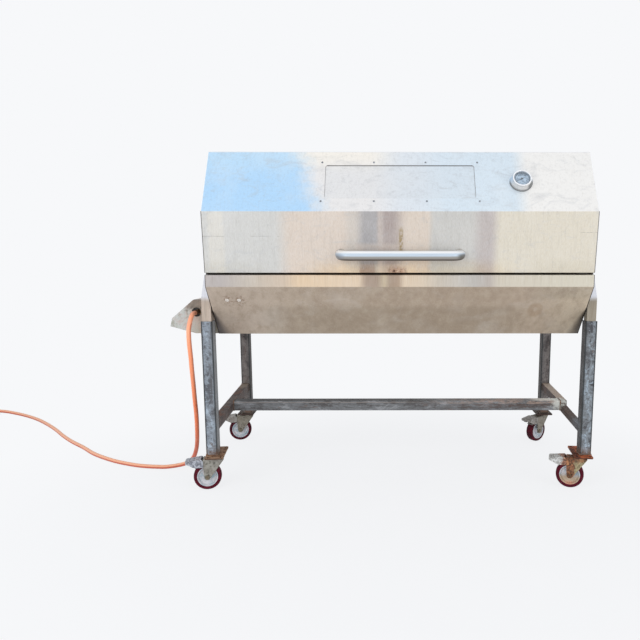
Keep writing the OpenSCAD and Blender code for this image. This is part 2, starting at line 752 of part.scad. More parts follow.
module hinge_leaves_upper() color("silver") place() for (i = [0:2]) translate([hinge_x(i), 0, 0]) {
  translate([0, hinge_y, hinge_z]) barrels(1, 0.4);
  difference() {
    translate([0, body_depth, lid_z]) rotate([-lean_angle, 0, 0])
      box_between([-hinge_l / 2, 0, 0.5], [hinge_l / 2, leaf_t, leaf_w]);
    for (k = [0, 2, 4]) translate([-hinge_l / 2 + k * knuckle - 0.4, hinge_y, hinge_z])
      rotate([0, 90, 0]) cylinder(d = barrel_d + 1, h = knuckle + 0.8);
  }
  // web from the barrels up to the leaf
  for (k = [1, 3]) difference() {
    box_between([-hinge_l / 2 + k * knuckle + 0.4, body_depth + 1.2, hinge_z],
      [-hinge_l / 2 + (k + 1) * knuckle - 0.4, hinge_y, lid_z + 4]);
    translate([-hinge_l, hinge_y, hinge_z]) rotate([0, 90, 0])
      cylinder(d = hinge_pin_d + 2 * run_gap, h = 2 * hinge_l);
  }
}

// Hood
module lid_shell() color("whitesmoke") place() difference() {
  along_x(-inner_x, inner_x) polygon(sheet_outline(lid_path, sheet, fold_r));
  on_upper_slope() {
    translate([0, window_up + window_h / 2, -3 * sheet]) linear_extrude(6 * sheet)
      rounded_rect([window_l, window_h], window_r);
    translate([thermo_x, thermo_up, -3 * sheet]) cylinder(d = 12, h = 6 * sheet);
    window_screw_places() translate([0, 0, -3 * sheet]) cylinder(d = 5, h = 6 * sheet);
  }
}

module window_screw_places() for (x = [-1, -1 / 3, 1 / 3, 1], s = [-1, 1])
  translate([
    x * (window_l / 2 + screw_out), window_up + window_h / 2 + s * (window_h / 2 + screw_out), 0,
  ]) children();

module lid_end(side_x) color("whitesmoke") place() mirror([side_x < 0 ? 1 : 0, 0, 0])
  along_x(inner_x, end_x) {
    polygon(folded(lid_path, fold_r + sheet, fold_r));
    // foot down to the trough's end
    translate([rim_flange, rim_z + rest_gap]) square([body_depth - 2 * rim_flange, lid_gap]);
  }

// Cover plate behind the aperture, just clear of the slope's inner face
plate_back_z = -2 * sheet - seat_gap;
module window_plate() color("lightgray") place() on_upper_slope() difference() {
  translate([0, window_up + window_h / 2, plate_back_z]) linear_extrude(sheet)
    rounded_rect([window_l + 2 * window_lap, window_h + 2 * window_lap], window_r);
  window_screw_places() translate([0, 0, -3 * sheet]) cylinder(d = 5, h = 3 * sheet);
}

module window_screws() color("silver") place() on_upper_slope() window_screw_places() {
  nut_h = 4;
  translate([0, 0, plate_back_z - nut_h]) cylinder(d = 5, h = 1 + nut_h - plate_back_z);
  // domed head
  intersection() {
    translate([0, 0, screw_head_d * 0.33 - screw_head_d * 0.62]) sphere(d = screw_head_d * 1.24);
    cylinder(d = screw_head_d, h = 4);
  }
  translate([0, 0, plate_back_z - nut_h]) cylinder(d = 9, h = nut_h, $fn = 6);
}

// Bent-tube handle with its legs seated on the front panel
handle_half = handle_l / 2 - handle_d / 2;
module lid_handle() color("gainsboro") place() on_front_panel() translate([0, handle_up, 0])
  difference() {
    union() {
      translate([-handle_half + handle_bend, 0, handle_out]) rotate([0, 90, 0])
        cylinder(d = handle_d, h = 2 * (handle_half - handle_bend));
      for (s = [-1, 1]) {
        translate([s * handle_half, 0, 0]) cylinder(d = handle_d, h = handle_out - handle_bend);
        translate([s * (handle_half - handle_bend), 0, handle_out - handle_bend])
          rotate([90, 0, 0]) rotate([0, 0, s > 0 ? 0 : 90])
          rotate_extrude(angle = 90) translate([handle_bend, 0]) circle(d = handle_d);
      }
    }
    translate([-handle_l, -handle_d, -handle_d]) cube([2 * handle_l, 2 * handle_d, handle_d]);
  }

// Bimetal thermometer: stepped bezel, stem through the slope, dial and glass
module on_thermometer() on_upper_slope() translate([thermo_x, thermo_up, 0]) children();
dial_z = thermo_h - 8;
module thermometer_case() color("silver") place() on_thermometer() {
  difference() {
    rotate_extrude() polygon([
      [0, 0], [thermo_d / 2, 0], [thermo_d / 2, 3], [thermo_d / 2 - 2.5, 5],
      [dial_d / 2 + 6, thermo_h - 9], [dial_d / 2 + 5.5, thermo_h - 2],
      [dial_d / 2 + 4, thermo_h], [dial_d / 2 + 1.5, thermo_h],
      [dial_d / 2, thermo_h - 1.5], [dial_d / 2, dial_z - 2], [0, dial_z - 2],
    ]);
    translate([0, 0, dial_z - 12]) cylinder(d = 3, h = 20);
  }
  translate([0, 0, -stem_l]) cylinder(d = 8, h = stem_l + eps);
  translate([0, 0, -sheet - 7]) cylinder(d = 20, h = 7, $fn = 6);
}
module thermometer_dial() color("lightsteelblue") place() on_thermometer() difference() {
  translate([0, 0, dial_z - 2]) cylinder(d = dial_d, h = 1.5);
  translate([0, 0, dial_z - 3]) cylinder(d = 3, h = 6);
}
module thermometer_needle() color("black") place() on_thermometer() {
  translate([0, 0, dial_z - 11]) cylinder(d = 3 - 2 * run_gap, h = 12);
  translate([0, 0, dial_z]) cylinder(d = 7, h = 1.5);
  translate([0, 0, dial_z + 0.2]) rotate([0, 0, 210]) linear_extrude(0.8)
    polygon([[-8, -1.6], [0, -1.6], [dial_d * 0.42, 0], [0, 1.6], [-8, 1.6]]);
}
module thermometer_glass() color("aliceblue", 0.4) place() on_thermometer()
  translate([0, 0, thermo_h - 4]) cylinder(d = dial_d, h = 2);

// Casters, each in its own frame: swivel axis up, trail along -X
crown_z = caster_h - 20;
fork_half = tyre_w / 2 + 3;
fork_r = 6;
function caster_at(side_x, front) =
  front ? [side_x * front_axis_x, front_axis_y] + (side_x < 0 ? fl_shift : fr_shift)
  : [side_x * rear_axis_x, rear_axis_y] + (side_x < 0 ? rl_shift : rr_shift);
module at_caster(side_x, front, turn)
  translate(caster_at(side_x, front)) rotate([0, 0, turn - 180]) children();

module top_plate(w, l) difference() {
  translate([0, 0, caster_h - plate_t]) linear_extrude(plate_t) rounded_rect([w, l], 8);
  // slots for fixing bolts
  for (x = [-1, 1], y = [-1, 1])
    translate([x * (w / 2 - 13), y * (l / 2 - 15), caster_h - plate_t - eps])
      linear_extrude(plate_t + 2 * eps) rounded_rect([10, 18], 5 - eps);
}

// Upper raceway cup and the kingpin with its riveted head
module upper_race() {
  cup_z = crown_z + 6 + rest_gap;
  plate_z = caster_h - plate_t;
  pin_z = crown_z - fork_t - 4;
  translate([0, 0, cup_z]) cylinder(d1 = race_d - 10, d2 = race_d, h = plate_z - cup_z);
  translate([0, 0, pin_z]) cylinder(d = 14, h = plate_z - pin_z);
  translate([0, 0, pin_z]) cylinder(d1 = 18, d2 = 24, h = 4 - rest_gap);
}

module caster_plates() color("sienna") place() for (s = [-1, 1]) {
  translate([s * (front_axis_x + plate_out), front_axis_y + plate_back, 0])
    rotate([0, 0, -s * plate_splay]) top_plate(front_plate_w, front_plate_l);
  translate(caster_at(s, true)) upper_race();
  translate(caster_at(s, false)) {
    top_plate(rear_plate_w, rear_plate_l);
    upper_race();
  }
}

// Pressed fork: a folded channel cut to the fork's side outline
module fork_side() hull() {
  translate([-trail, wheel_d / 2]) circle(d = axle_d * 2.3, $fn = 32);
  translate([-trail - 14, crown_z - 4]) circle(d = 8, $fn = 32);
  translate([race_d / 2 - 6, crown_z - 4]) circle(d = 8, $fn = 32);
}
module fork_ears() hull() {
  translate([-trail - 32, crown_z - 22]) circle(d = 16, $fn = 32);
  translate([-trail + 4, crown_z - 14]) circle(d = 28, $fn = 32);
}
pedal_pin = [-trail - 32, crown_z - 22];
module fork() difference() {
  union() {
    intersection() {
      rotate([90, 0, 90]) linear_extrude(4 * wheel_d, center = true)
        polygon(sheet_outline([
          [-fork_half - fork_t, 0], [-fork_half - fork_t, crown_z],
          [fork_half + fork_t, crown_z], [fork_half + fork_t, 0],
        ], -fork_t, fork_r));
      rotate([90, 0, 0]) linear_extrude(4 * fork_half, center = true) {
        fork_side();
        fork_ears();
      }
    }
    translate([0, 0, crown_z - fork_t]) cylinder(d = race_d - 6, h = fork_t);
    // lower raceway cup
    translate([0, 0, crown_z - eps]) cylinder(d1 = race_d, d2 = race_d - 4, h = 6 + eps);
  }
  translate([0, 0, crown_z - fork_t - 1]) cylinder(d = 14 + 2 * run_gap, h = fork_t + 12);
  translate([-trail, 0, wheel_d / 2]) rotate([90, 0, 0])
    cylinder(d = axle_d, h = 4 * fork_half, center = true);
  translate([pedal_pin[0], 0, pedal_pin[1]]) rotate([90, 0, 0])
    cylinder(d = 8 + 2 * run_gap, h = 4 * fork_half, center = true);
}

// Axle bolt: hexagon head and nut outside the fork
module axle() translate([-trail, 0, wheel_d / 2]) rotate([90, 0, 0]) {
  out = fork_half + fork_t;
  cylinder(d = axle_d, h = 2 * out + 16, center = true);
  for (s = [-1, 1]) translate([0, 0, s * (out + 4)])
    cylinder(d = axle_d * 1.75, h = 8, center = true, $fn = 6);
  // washers between the fork and the wheel
  for (s = [-1, 1]) translate([0, 0, s * (fork_half - 1.25)]) difference() {
    cylinder(d = axle_d * 1.6, h = 2.5, center = true);
    cylinder(d = axle_d - eps, h = 5, center = true);
  }
}

// Cast wheel centre with a dished web
rim_r = wheel_d / 2 - tyre_t;
module wheel() translate([-trail, 0, wheel_d / 2]) rotate([90, 0, 0]) rotate_extrude() polygon([
  [axle_d / 2 + run_gap, -tyre_w / 2 + 0.2], [15, -tyre_w / 2 + 0.2], [17, -tyre_w / 2 + 3],
  [19, -7], [rim_r - 9, -9], [rim_r - 4, -tyre_w / 2 + 2], [rim_r, -tyre_w / 2 + 2],
  [rim_r, tyre_w / 2 - 2], [rim_r - 4, tyre_w / 2 - 2], [rim_r - 9, 9], [19, 7],
  [17, tyre_w / 2 - 3], [15, tyre_w / 2 - 0.2], [axle_d / 2 + run_gap, tyre_w / 2 - 0.2],
]);

// Moulded tyre, slightly crowned, bonded to the wheel centre
module tyre() translate([-trail, 0, wheel_d / 2]) rotate([90, 0, 0]) rotate_extrude() polygon([
  [rim_r, -tyre_w / 2 + 1], [wheel_d / 2 - 7, -tyre_w / 2], [wheel_d / 2 - 3, -tyre_w / 2 + 2],
  [wheel_d / 2 - 0.8, -tyre_w / 2 + 6], [wheel_d / 2, -tyre_w / 2 + 13],
  [wheel_d / 2, tyre_w / 2 - 13], [wheel_d / 2 - 0.8, tyre_w / 2 - 6],
  [wheel_d / 2 - 3, tyre_w / 2 - 2], [wheel_d / 2 - 7, tyre_w / 2], [rim_r, tyre_w / 2 - 1],
]);

// Brake pedal: a folded channel outside the fork's ears, deep at the fork and
// shallow at the tip, on a cross pin that also carries the brake shoe
pedal_gap = 0.6;
pedal_half = fork_half + fork_t + pedal_gap + pedal_t;
pedal_root = trail + 26;
pedal_drop = 9;
pedal_side = [
  [-trail - 17, crown_z - 38], [-trail - 17, crown_z - 8], [-pedal_root, crown_z],
  [-pedal_reach, crown_z - pedal_drop], [-pedal_reach, crown_z - 18],
  [-pedal_reach + 19, crown_z - 26], [-pedal_reach + 32, crown_z - 34],
  [-pedal_reach + 44, crown_z - 38],
];
pedal_inside = [
  [-trail - 14, crown_z - 50], [-trail - 14, crown_z + 2], [-pedal_root, crown_z + 2],
  [-pedal_root, crown_z - pedal_t],
  [-pedal_reach + pedal_t, crown_z - pedal_drop - pedal_t],
  [-pedal_reach + pedal_t, crown_z - 50],
];
module upright_slab(half) rotate([90, 0, 0]) linear_extrude(2 * half, center = true) children();
module pedal() {
  difference() {
    intersection() {
      upright_slab(pedal_half) polygon(pedal_side);
      translate([-pedal_reach / 2, 0, 0]) linear_extrude(caster_h)
        rounded_rect([pedal_reach, 2 * pedal_half], 8);
    }
    upright_slab(pedal_half - pedal_t) polygon(pedal_inside);
    // grooves of the tread
    translate([-pedal_reach, 0, crown_z - pedal_drop])
      rotate([0, -atan2(pedal_drop, pedal_reach - pedal_root), 0])
      for (i = [1:4]) translate([i * 10, 0, -1]) linear_extrude(3)
        square([3, 2 * fork_half], center = true);
  }
  translate([pedal_pin[0], 0, pedal_pin[1]]) rotate([90, 0, 0]) {
    cylinder(d = 8, h = 2 * pedal_half + 3, center = true);
    cylinder(d = 13, h = 2 * fork_half - 2, center = true);
  }
  // shoe, curved as the tyre
  shoe_in = wheel_d / 2 + 2;
  shoe_out = shoe_in + 5;
  translate([-trail, 0, wheel_d / 2]) upright_slab(tyre_w / 2 - 3) polygon(concat(
    [for (a = [117:5:142]) shoe_in * [cos(a), sin(a)]],
    [for (a = [142:-5:117]) shoe_out * [cos(a), sin(a)]]));
}

// Hose, ferrules and regulator
module gas_hose() color("orangered") place() translate(hose_exit) {
  path = smooth_route(hose_route, hose_steps);
  low = hose_d / 2 - hose_exit[2];
  points = [for (p = path) [p[0], p[1], max(p[2], low)]];
  n = len(points);
  rings = [for (i = [0:n - 1]) let (
      t = hose_direction(points, i), u = unit(cross(t, [0.5, 0.85, 0.2])), v = cross(t, u))
    for (k = [0:hose_sides - 1]) let (a = 360 * k / hose_sides)
      points[i] + (u * cos(a) + v * sin(a)) * hose_d / 2];
  walls = [for (i = [0:n - 2], k = [0:hose_sides - 1]) let (
      a = i * hose_sides + k, b = i * hose_sides + (k + 1) % hose_sides)
    each [[a, b, b + hose_sides], [a, b + hose_sides, a + hose_sides]]];
  first = [for (k = [1:hose_sides - 2]) [0, k + 1, k]];
  last_at = (n - 1) * hose_sides;
  last = [for (k = [1:hose_sides - 2]) [last_at, last_at + k, last_at + k + 1]];
  polyhedron(rings, concat(walls, first, last));
}

module ferrule() {
  cylinder(d = ferrule_d, h = ferrule_l);
  // crimped rings
  for (k = [0.2, 0.45, 0.7]) translate([0, 0, k * ferrule_l])
    cylinder(d = ferrule_d + 1.5, h = ferrule_l * 0.1);
}

// Frame at the hose's far end, its X pointing on along the hose
module at_hose_end() translate(hose_exit + hose_end) rotate([0, 0, hose_end_turn]) children();

module hose_ferrules() color("peru") place() {
  translate(hose_exit) rotate([-90, 0, 0]) ferrule();
  at_hose_end() rotate([0, 90, 0]) ferrule();
}

module regulator() color("silver") place() at_hose_end() translate([ferrule_l, 0, 0]) {
  axis_z = hose_exit[2] + hose_end[2];
  rotate([0, 90, 0]) cylinder(d = 16, h = 24 + regulator_d / 2);
  rotate([0, 90, 0]) cylinder(d = 24, h = 12, $fn = 6);
  translate([22 + regulator_d / 2, 0, -axis_z]) {
    cylinder(d = regulator_d - 10, h = regulator_h * 0.3);
    translate([0, 0, regulator_h * 0.3]) cylinder(d = regulator_d, h = regulator_h * 0.3);
    translate([0, 0, regulator_h * 0.6])
      cylinder(d1 = regulator_d - 6, d2 = regulator_d * 0.5, h = regulator_h * 0.4);
  }
  // stem and nose of the cylinder connector
  translate([22 + regulator_d, 0, 0]) rotate([0, 90, 0]) {
    translate([0, 0, -8]) cylinder(d = 14, h = 50);
    translate([0, 0, 36]) cylinder(d1 = 16, d2 = nose_d, h = 4);
    translate([0, 0, 40]) cylinder(d = nose_d, h = 14);
  }
}

module regulator_handwheel() color("black") place() at_hose_end()
  translate([ferrule_l + 22 + regulator_d + 8, 0, 0]) rotate([0, 90, 0]) difference() {
    union() {
      cylinder(d = 36, h = 22);
      for (k = [0:5]) rotate([0, 0, 60 * k]) translate([15, 0, 0]) cylinder(d = 9, h = 22);
    }
    translate([0, 0, -1]) cylinder(d = 14 + 2 * run_gap, h = 40);
  }

leg(-1, leg_front_y);  // leg_front_left
leg(1, leg_front_y);  // leg_front_right
leg(-1, leg_rear_y);  // leg_rear_left
leg(1, leg_rear_y);  // leg_rear_right
side_rail(-1);  // side_rail_left
side_rail(1);  // side_rail_right
stretcher_bar();
uprights(-1);  // uprights_left
uprights(1);  // uprights_right
caster_plates();
trough_shell();
trough_end(-1);  // trough_end_left
trough_end(1);  // trough_end_right
trough_bolts();
tray_ledges();
roasting_tray();
burner(mid_depth - burner_y);  // burner_front
burner(mid_depth + burner_y);  // burner_rear
flame_baffles();
gas_manifold();
gas_valve();
valve_knob();
inlet_guard();
hinge_leaves_lower();
hinge_pins();
lid_shell();
lid_end(-1);  // lid_end_left
lid_end(1);  // lid_end_right
window_plate();
window_screws();
lid_handle();
hinge_leaves_upper();
thermometer_case();
thermometer_dial();
thermometer_needle();
thermometer_glass();
gas_hose();
hose_ferrules();
regulator();
regulator_handwheel();

module front_left() place() at_caster(-1, true, fl_turn) children();
module front_right() place() at_caster(1, true, fr_turn) children();
module rear_left() place() at_caster(-1, false, rl_turn) children();
module rear_right() place() at_caster(1, false, rr_turn) children();

front_left() color("darkgray") fork();  // fork_front_left
front_left() color("dimgray") axle();  // axle_front_left
front_left() color("gainsboro") wheel();  // wheel_front_left
front_left() color("maroon") tyre();  // tyre_front_left
front_left() color("silver") pedal();  // pedal_front_left
front_right() color("darkgray") fork();  // fork_front_right
front_right() color("dimgray") axle();  // axle_front_right
front_right() color("gainsboro") wheel();  // wheel_front_right
front_right() color("maroon") tyre();  // tyre_front_right
front_right() color("silver") pedal();  // pedal_front_right
rear_left() color("darkgray") fork();  // fork_rear_left
rear_left() color("dimgray") axle();  // axle_rear_left
rear_left() color("gainsboro") wheel();  // wheel_rear_left
rear_left() color("maroon") tyre();  // tyre_rear_left
rear_left() color("silver") pedal();  // pedal_rear_left
rear_right() color("darkgray") fork();  // fork_rear_right
rear_right() color("dimgray") axle();  // axle_rear_right
rear_right() color("gainsboro") wheel();  // wheel_rear_right
rear_right() color("maroon") tyre();  // tyre_rear_right
rear_right() color("silver") pedal();  // pedal_rear_right
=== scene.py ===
"""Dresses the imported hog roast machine: camera, gas hose, materials and small fittings."""

import json
import math

import bpy
import bmesh
from mathutils import Matrix, Vector, noise

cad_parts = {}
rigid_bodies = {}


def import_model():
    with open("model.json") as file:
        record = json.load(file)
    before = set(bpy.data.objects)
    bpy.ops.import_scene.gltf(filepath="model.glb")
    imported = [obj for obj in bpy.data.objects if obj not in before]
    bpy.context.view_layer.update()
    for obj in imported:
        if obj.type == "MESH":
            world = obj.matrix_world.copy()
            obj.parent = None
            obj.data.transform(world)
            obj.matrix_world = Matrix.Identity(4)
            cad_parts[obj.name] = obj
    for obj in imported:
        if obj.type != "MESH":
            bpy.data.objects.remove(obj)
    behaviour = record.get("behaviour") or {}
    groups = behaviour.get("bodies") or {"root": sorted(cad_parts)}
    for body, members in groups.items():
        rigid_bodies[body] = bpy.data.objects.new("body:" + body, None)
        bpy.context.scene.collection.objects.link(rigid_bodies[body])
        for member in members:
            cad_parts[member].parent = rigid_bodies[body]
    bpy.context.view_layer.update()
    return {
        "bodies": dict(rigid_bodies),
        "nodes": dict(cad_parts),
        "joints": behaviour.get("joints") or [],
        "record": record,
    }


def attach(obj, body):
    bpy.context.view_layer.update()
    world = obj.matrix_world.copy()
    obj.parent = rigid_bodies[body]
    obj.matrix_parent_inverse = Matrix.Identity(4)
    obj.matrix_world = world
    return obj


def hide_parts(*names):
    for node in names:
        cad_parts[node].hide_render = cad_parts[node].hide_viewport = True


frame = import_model()
NODES = frame["nodes"]

# The row frame's origin in the machine's own drawing frame, in metres
MID = Vector((-0.0765, 0.439747, 0.0))

# Places of the machine in its drawing frame, in metres
BODY_LENGTH = 1.650
LEG_X = 0.850
LEG_FRONT_Y = 0.109
LEG_REAR_Y = 0.836
STRETCHER_Z = 0.306
FOLD_Y = -0.022
FOLD_Z = 1.250
SLOPE_ANGLE = math.atan2(0.261, 0.150)
DIAL_X = 0.511
DIAL_UP = 0.146


def place(x, y, z):
    """A point given in millimetres of the machine's drawing frame, in the row frame."""
    return Vector((x, y, z)) / 1000 - MID


# Camera

PICTURE = 640
FOCAL_PX = 611.45
CENTRE_PX = (386.21, 338.64)
EYE = place(-72.33, -2595.81, 1088.38)
YAW, PITCH = 0.0053126, 0.1426223


def add_camera():
    forward = Vector((
        math.sin(YAW) * math.cos(PITCH),
        math.cos(YAW) * math.cos(PITCH),
        -math.sin(PITCH),
    ))
    right = Vector((math.cos(YAW), -math.sin(YAW), 0))
    up = right.cross(forward)
    data = bpy.data.cameras.new("camera")
    data.sensor_width = 36
    data.lens = FOCAL_PX / PICTURE * data.sensor_width
    data.shift_x = (PICTURE / 2 - CENTRE_PX[0]) / PICTURE
    data.shift_y = (CENTRE_PX[1] - PICTURE / 2) / PICTURE
    camera = bpy.data.objects.new("camera", data)
    turn = Matrix((right, up, -forward)).transposed().to_4x4()
    camera.matrix_world = Matrix.Translation(EYE) @ turn
    bpy.context.collection.objects.link(camera)
    bpy.context.scene.camera = camera


add_camera()

# Gas hose

HOSE_D = 0.020
HOSE_EXIT = place(-923, 164, 810)
HOSE_ROUTE_MM = [
    (0, 0, 0), (0, -15, 0), (0, -41, -4), (1, -65, -16), (1, -86, -36),
    (0, -99, -62), (0, -103, -90), (0, -101, -122), (-1, -92, -158),
    (-3, -78, -198), (-7, -60, -246), (-14, -26, -318), (-21, 8, -406),
    (-27, 38, -474), (-36, 70, -542), (-51, 112, -626), (-67, 142, -686),
    (-92, 170, -737), (-132, 192, -773), (-186, 203, -791), (-260, 206, -800),
    (-360, 219, -800), (-450, 250, -800), (-560, 307, -800), (-695, 405, -800),
    (-810, 518, -800), (-925, 622, -800), (-1035, 736, -800),
    (-1140, 856, -800), (-1265, 984, -800), (-1395, 1100, -800),
    (-1530, 1190, -798), (-1660, 1240, -790), (-1740, 1252, -786),
]


def smooth_route(points, steps):
    """Points of a Catmull-Rom curve through the given ones."""
    last = len(points) - 1
    route = []
    for i in range(last):
        before, here = points[max(i - 1, 0)], points[i]
        after, beyond = points[i + 1], points[min(i + 2, last)]
        for k in range(steps):
            f = k / steps
            route.append((
                here * 2 + (after - before) * f
                + (before * 2 - here * 5 + after * 4 - beyond) * f * f
                + (here * 3 - before - after * 3 + beyond) * f ** 3
            ) / 2)
    return route + [points[last]]


def add_hose():
    points = [HOSE_EXIT + Vector(p) / 1000 for p in HOSE_ROUTE_MM]
    route = smooth_route(points, 5)
    lowest = HOSE_D / 2
    data = bpy.data.curves.new("hose", "CURVE")
    data.dimensions = "3D"
    data.bevel_depth = 1
    data.bevel_resolution = 6
    data.use_fill_caps = True
    line = data.splines.new("POLY")
    line.points.add(len(route) - 1)
    for point, where in zip(line.points, route):
        point.co = (where.x, where.y, max(where.z, lowest), 1)
        point.radius = HOSE_D / 2
    line.use_smooth = True
    hose = bpy.data.objects.new("hose", data)
    bpy.context.collection.objects.link(hose)
    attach(hose, "trolley")
    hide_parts("gas_hose")
    return hose


hose = add_hose()

# Materials


def srgb(red, green, blue):
    """A colour given as it shows on the screen, 0 to 255, for a shader."""
    return tuple(
        (c / 255 / 12.92) if c <= 10 else ((c / 255 + 0.055) / 1.055) ** 2.4
        for c in (red, green, blue)
    )


class Graph:
    """A material's nodes. Each method returns the socket that the next one takes."""

    def __init__(self, name):
        self.material = bpy.data.materials.new(name)
        self.material.use_nodes = True
        self.tree = self.material.node_tree
        self.tree.nodes.clear()
        self.where = None

    def add(self, kind, inputs, output=0, **settings):
        node = self.tree.nodes.new(kind)
        for name, value in settings.items():
            setattr(node, name, value)
        for name, value in inputs.items():
            self.feed(node.inputs[name], value)
        return node.outputs[output] if node.outputs else None

    def feed(self, socket, value):
        if isinstance(value, bpy.types.NodeSocket):
            self.tree.links.new(value, socket)
        elif socket.type == "RGBA":
            socket.default_value = (*value, 1)
        else:
            socket.default_value = value

    def position(self):
        """The point in the machine's drawing frame, in metres."""
        if self.where is None:
            coords = self.add("ShaderNodeTexCoord", {}, "Object")
            self.where = self.add("ShaderNodeVectorMath", {0: coords, 1: tuple(MID)}, operation="ADD")
        return self.where

    def axis(self, letter):
        return self.add("ShaderNodeSeparateXYZ", {0: self.position()}, letter)

    def facing(self, letter):
        """How far the surface faces along an axis, -1 to 1."""
        normal = self.add("ShaderNodeTexCoord", {}, "Normal")
        return self.add("ShaderNodeSeparateXYZ", {0: normal}, letter)

    def stretched(self, x, y, z):
        return self.add("ShaderNodeVectorMath", {0: self.position(), 1: (x, y, z)}, operation="MULTIPLY")

    def noise(self, scale, detail=3.0, rough=0.55, stretch=(1, 1, 1), warp=0.0):
        return self.add("ShaderNodeTexNoise", {
            "Vector": self.stretched(*stretch), "Scale": scale, "Detail": detail,
            "Roughness": rough, "Distortion": warp,
        }, "Fac")

    def step(self, value, low, high):
        """0 below low and 1 above high, smooth between them."""
        return self.add("ShaderNodeMapRange", {
            "Value": value, "From Min": low, "From Max": high,
        }, interpolation_type="SMOOTHSTEP")

    def band(self, value, centre, half, soft):
        """1 within half of the centre, and 0 beyond that by soft."""
        away = self.math("ABSOLUTE", self.math("SUBTRACT", value, centre))
        return self.step(away, half + soft, half)

    def span(self, value, low, high, soft):
        """1 from low to high, and 0 outside them by soft."""
        return self.band(value, (low + high) / 2, (high - low) / 2, soft)

    def math(self, operation, a, b=0.0):
        return self.add("ShaderNodeMath", {0: a, 1: b}, operation=operation)

    def times(self, *factors):
        product = factors[0]
        for factor in factors[1:]:
            product = self.math("MULTIPLY", product, factor)
        return product

    def mix(self, share, a, b, blend="MIX"):
        return self.add("ShaderNodeMix", {0: share, 6: a, 7: b}, 2, data_type="RGBA", blend_type=blend)

    def grade(self, value, *stops):
        """A colour ramp through (place, colour) stops."""
        node = self.tree.nodes.new("ShaderNodeValToRGB")
        self.feed(node.inputs[0], value)
        points = node.color_ramp.elements
        while len(points) < len(stops):
            points.new(0.5)
        for point, (at, colour) in zip(points, stops):
            point.position = at
            point.color = (*colour, 1)
        return node.outputs["Color"]

    def bump(self, height, depth, strength=1.0, base=None):
        inputs = {"Height": height, "Distance": depth, "Strength": strength}
        if base is not None:
            inputs["Normal"] = base
        return self.add("ShaderNodeBump", inputs)

    def shade(self, colour, rough=0.5, metal=0.0, normal=None, **more):
        inputs = {"Base Color": colour, "Roughness": rough, "Metallic": metal, **more}
        if normal is not None:
            inputs["Normal"] = normal
        shader = self.add("ShaderNodeBsdfPrincipled", {k.replace("_", " "): v for k, v in inputs.items()})
        self.add("ShaderNodeOutputMaterial", {"Surface": shader})
        return self.material


def brushed(graph, colour, rough=0.36, metal=0.55, grain=(1, 1, 0.02), depth=0.00006, painted_shade=None):
    """Sheet steel with a fine grain along the direction that isn't stretched, with near-black painted shade
    where asked.
    """
    fine = graph.noise(900, 2, 0.5, grain)
    coarse = graph.noise(120, 3, 0.6, grain)
    cloud = graph.noise(5, 3, 0.6)
    colour = graph.mix(graph.step(fine, 0.35, 0.7), colour, srgb(150, 146, 140), "SOFT_LIGHT")
    colour = graph.mix(graph.times(graph.step(coarse, 0.45, 0.75), 0.10), colour, srgb(120, 112, 104))
    colour = graph.mix(graph.times(graph.step(cloud, 0.45, 0.75), 0.12), colour, srgb(246, 244, 240))
    gloss = graph.math("ADD", rough, graph.times(graph.math("SUBTRACT", coarse, 0.5), 0.25))
    # near-black painted shade, also rougher
    if painted_shade is not None:
        colour = graph.mix(painted_shade, colour, srgb(22, 16, 12))
        gloss = graph.math("ADD", gloss, graph.times(painted_shade, 0.4))
    return graph.shade(colour, gloss, metal, graph.bump(fine, depth, 0.5))


# Upright bands of the mirrored yard: where each begins, where it is full, and its colour
YARD = (
    (-0.53, -0.45, (223, 212, 202)), (-0.25, -0.20, (213, 206, 199)), (-0.195, -0.145, (177, 175, 177)),
    (-0.105, -0.085, (194, 185, 181)), (-0.078, -0.060, (182, 171, 168)), (-0.035, 0.035, (223, 212, 201)),
    (0.11, 0.14, (208, 207, 204)), (0.29, 0.35, (198, 191, 189)), (0.375, 0.42, (224, 218, 205)),
)


def mirrored(g, x):
    """The upright bands that the front sheets mirror from the yard before them."""
    bent = g.math("ADD", x, g.times(g.math("SUBTRACT", g.noise(4, 3, 0.6, (1, 1, 0.8)), 0.5), 0.02))
    tone = srgb(213, 213, 211)
    for begins, full, colour in YARD:
        tone = g.mix(g.step(bent, begins, full), tone, srgb(*colour))
    return tone


def sky_mirrored(g, x, z):
    """The sky and the pale wall that the hood's upper slope mirrors."""
    wander = g.times(g.math("SUBTRACT", g.noise(7, 3, 0.6), 0.5), 0.08)
    ragged = g.times(g.math("SUBTRACT", g.noise(26, 4, 0.7), 0.5), 0.10)
    uneven = g.math("ADD", wander, ragged)
    slant = g.math("ADD", g.math("ADD", x, uneven), g.times(g.math("SUBTRACT", z, 1.25), 0.39))
    tone = g.mix(g.step(z, 1.40, 1.50), srgb(236, 235, 235), srgb(246, 242, 235))
    tone = g.mix(g.step(x, -0.14, 0.03), tone, srgb(227, 233, 239))
    tone = g.mix(g.step(x, 0.03, 0.22), tone, srgb(221, 233, 242))
    tone = g.mix(g.step(x, 0.47, 0.55), tone, srgb(243, 242, 240))
    sky = g.mix(g.step(z, 1.38, 1.50), srgb(188, 222, 249), srgb(198, 227, 248))
    return g.mix(g.step(slant, -0.26, -0.41), tone, sky)


def smeared(g, colour, share=0.30):
    """Cloudy marks left by wiping."""
    smear = g.noise(9, 4, 0.65, (1, 1, 2.2), 1.6)
    streak = g.noise(20, 5, 0.7, (1, 1, 3.0), 2.4)
    colour = g.mix(g.times(g.step(smear, 0.5, 0.75), share), colour, srgb(190, 193, 198))
    return g.mix(g.times(g.step(streak, 0.56, 0.70), share * 0.6), colour, srgb(176, 178, 184))


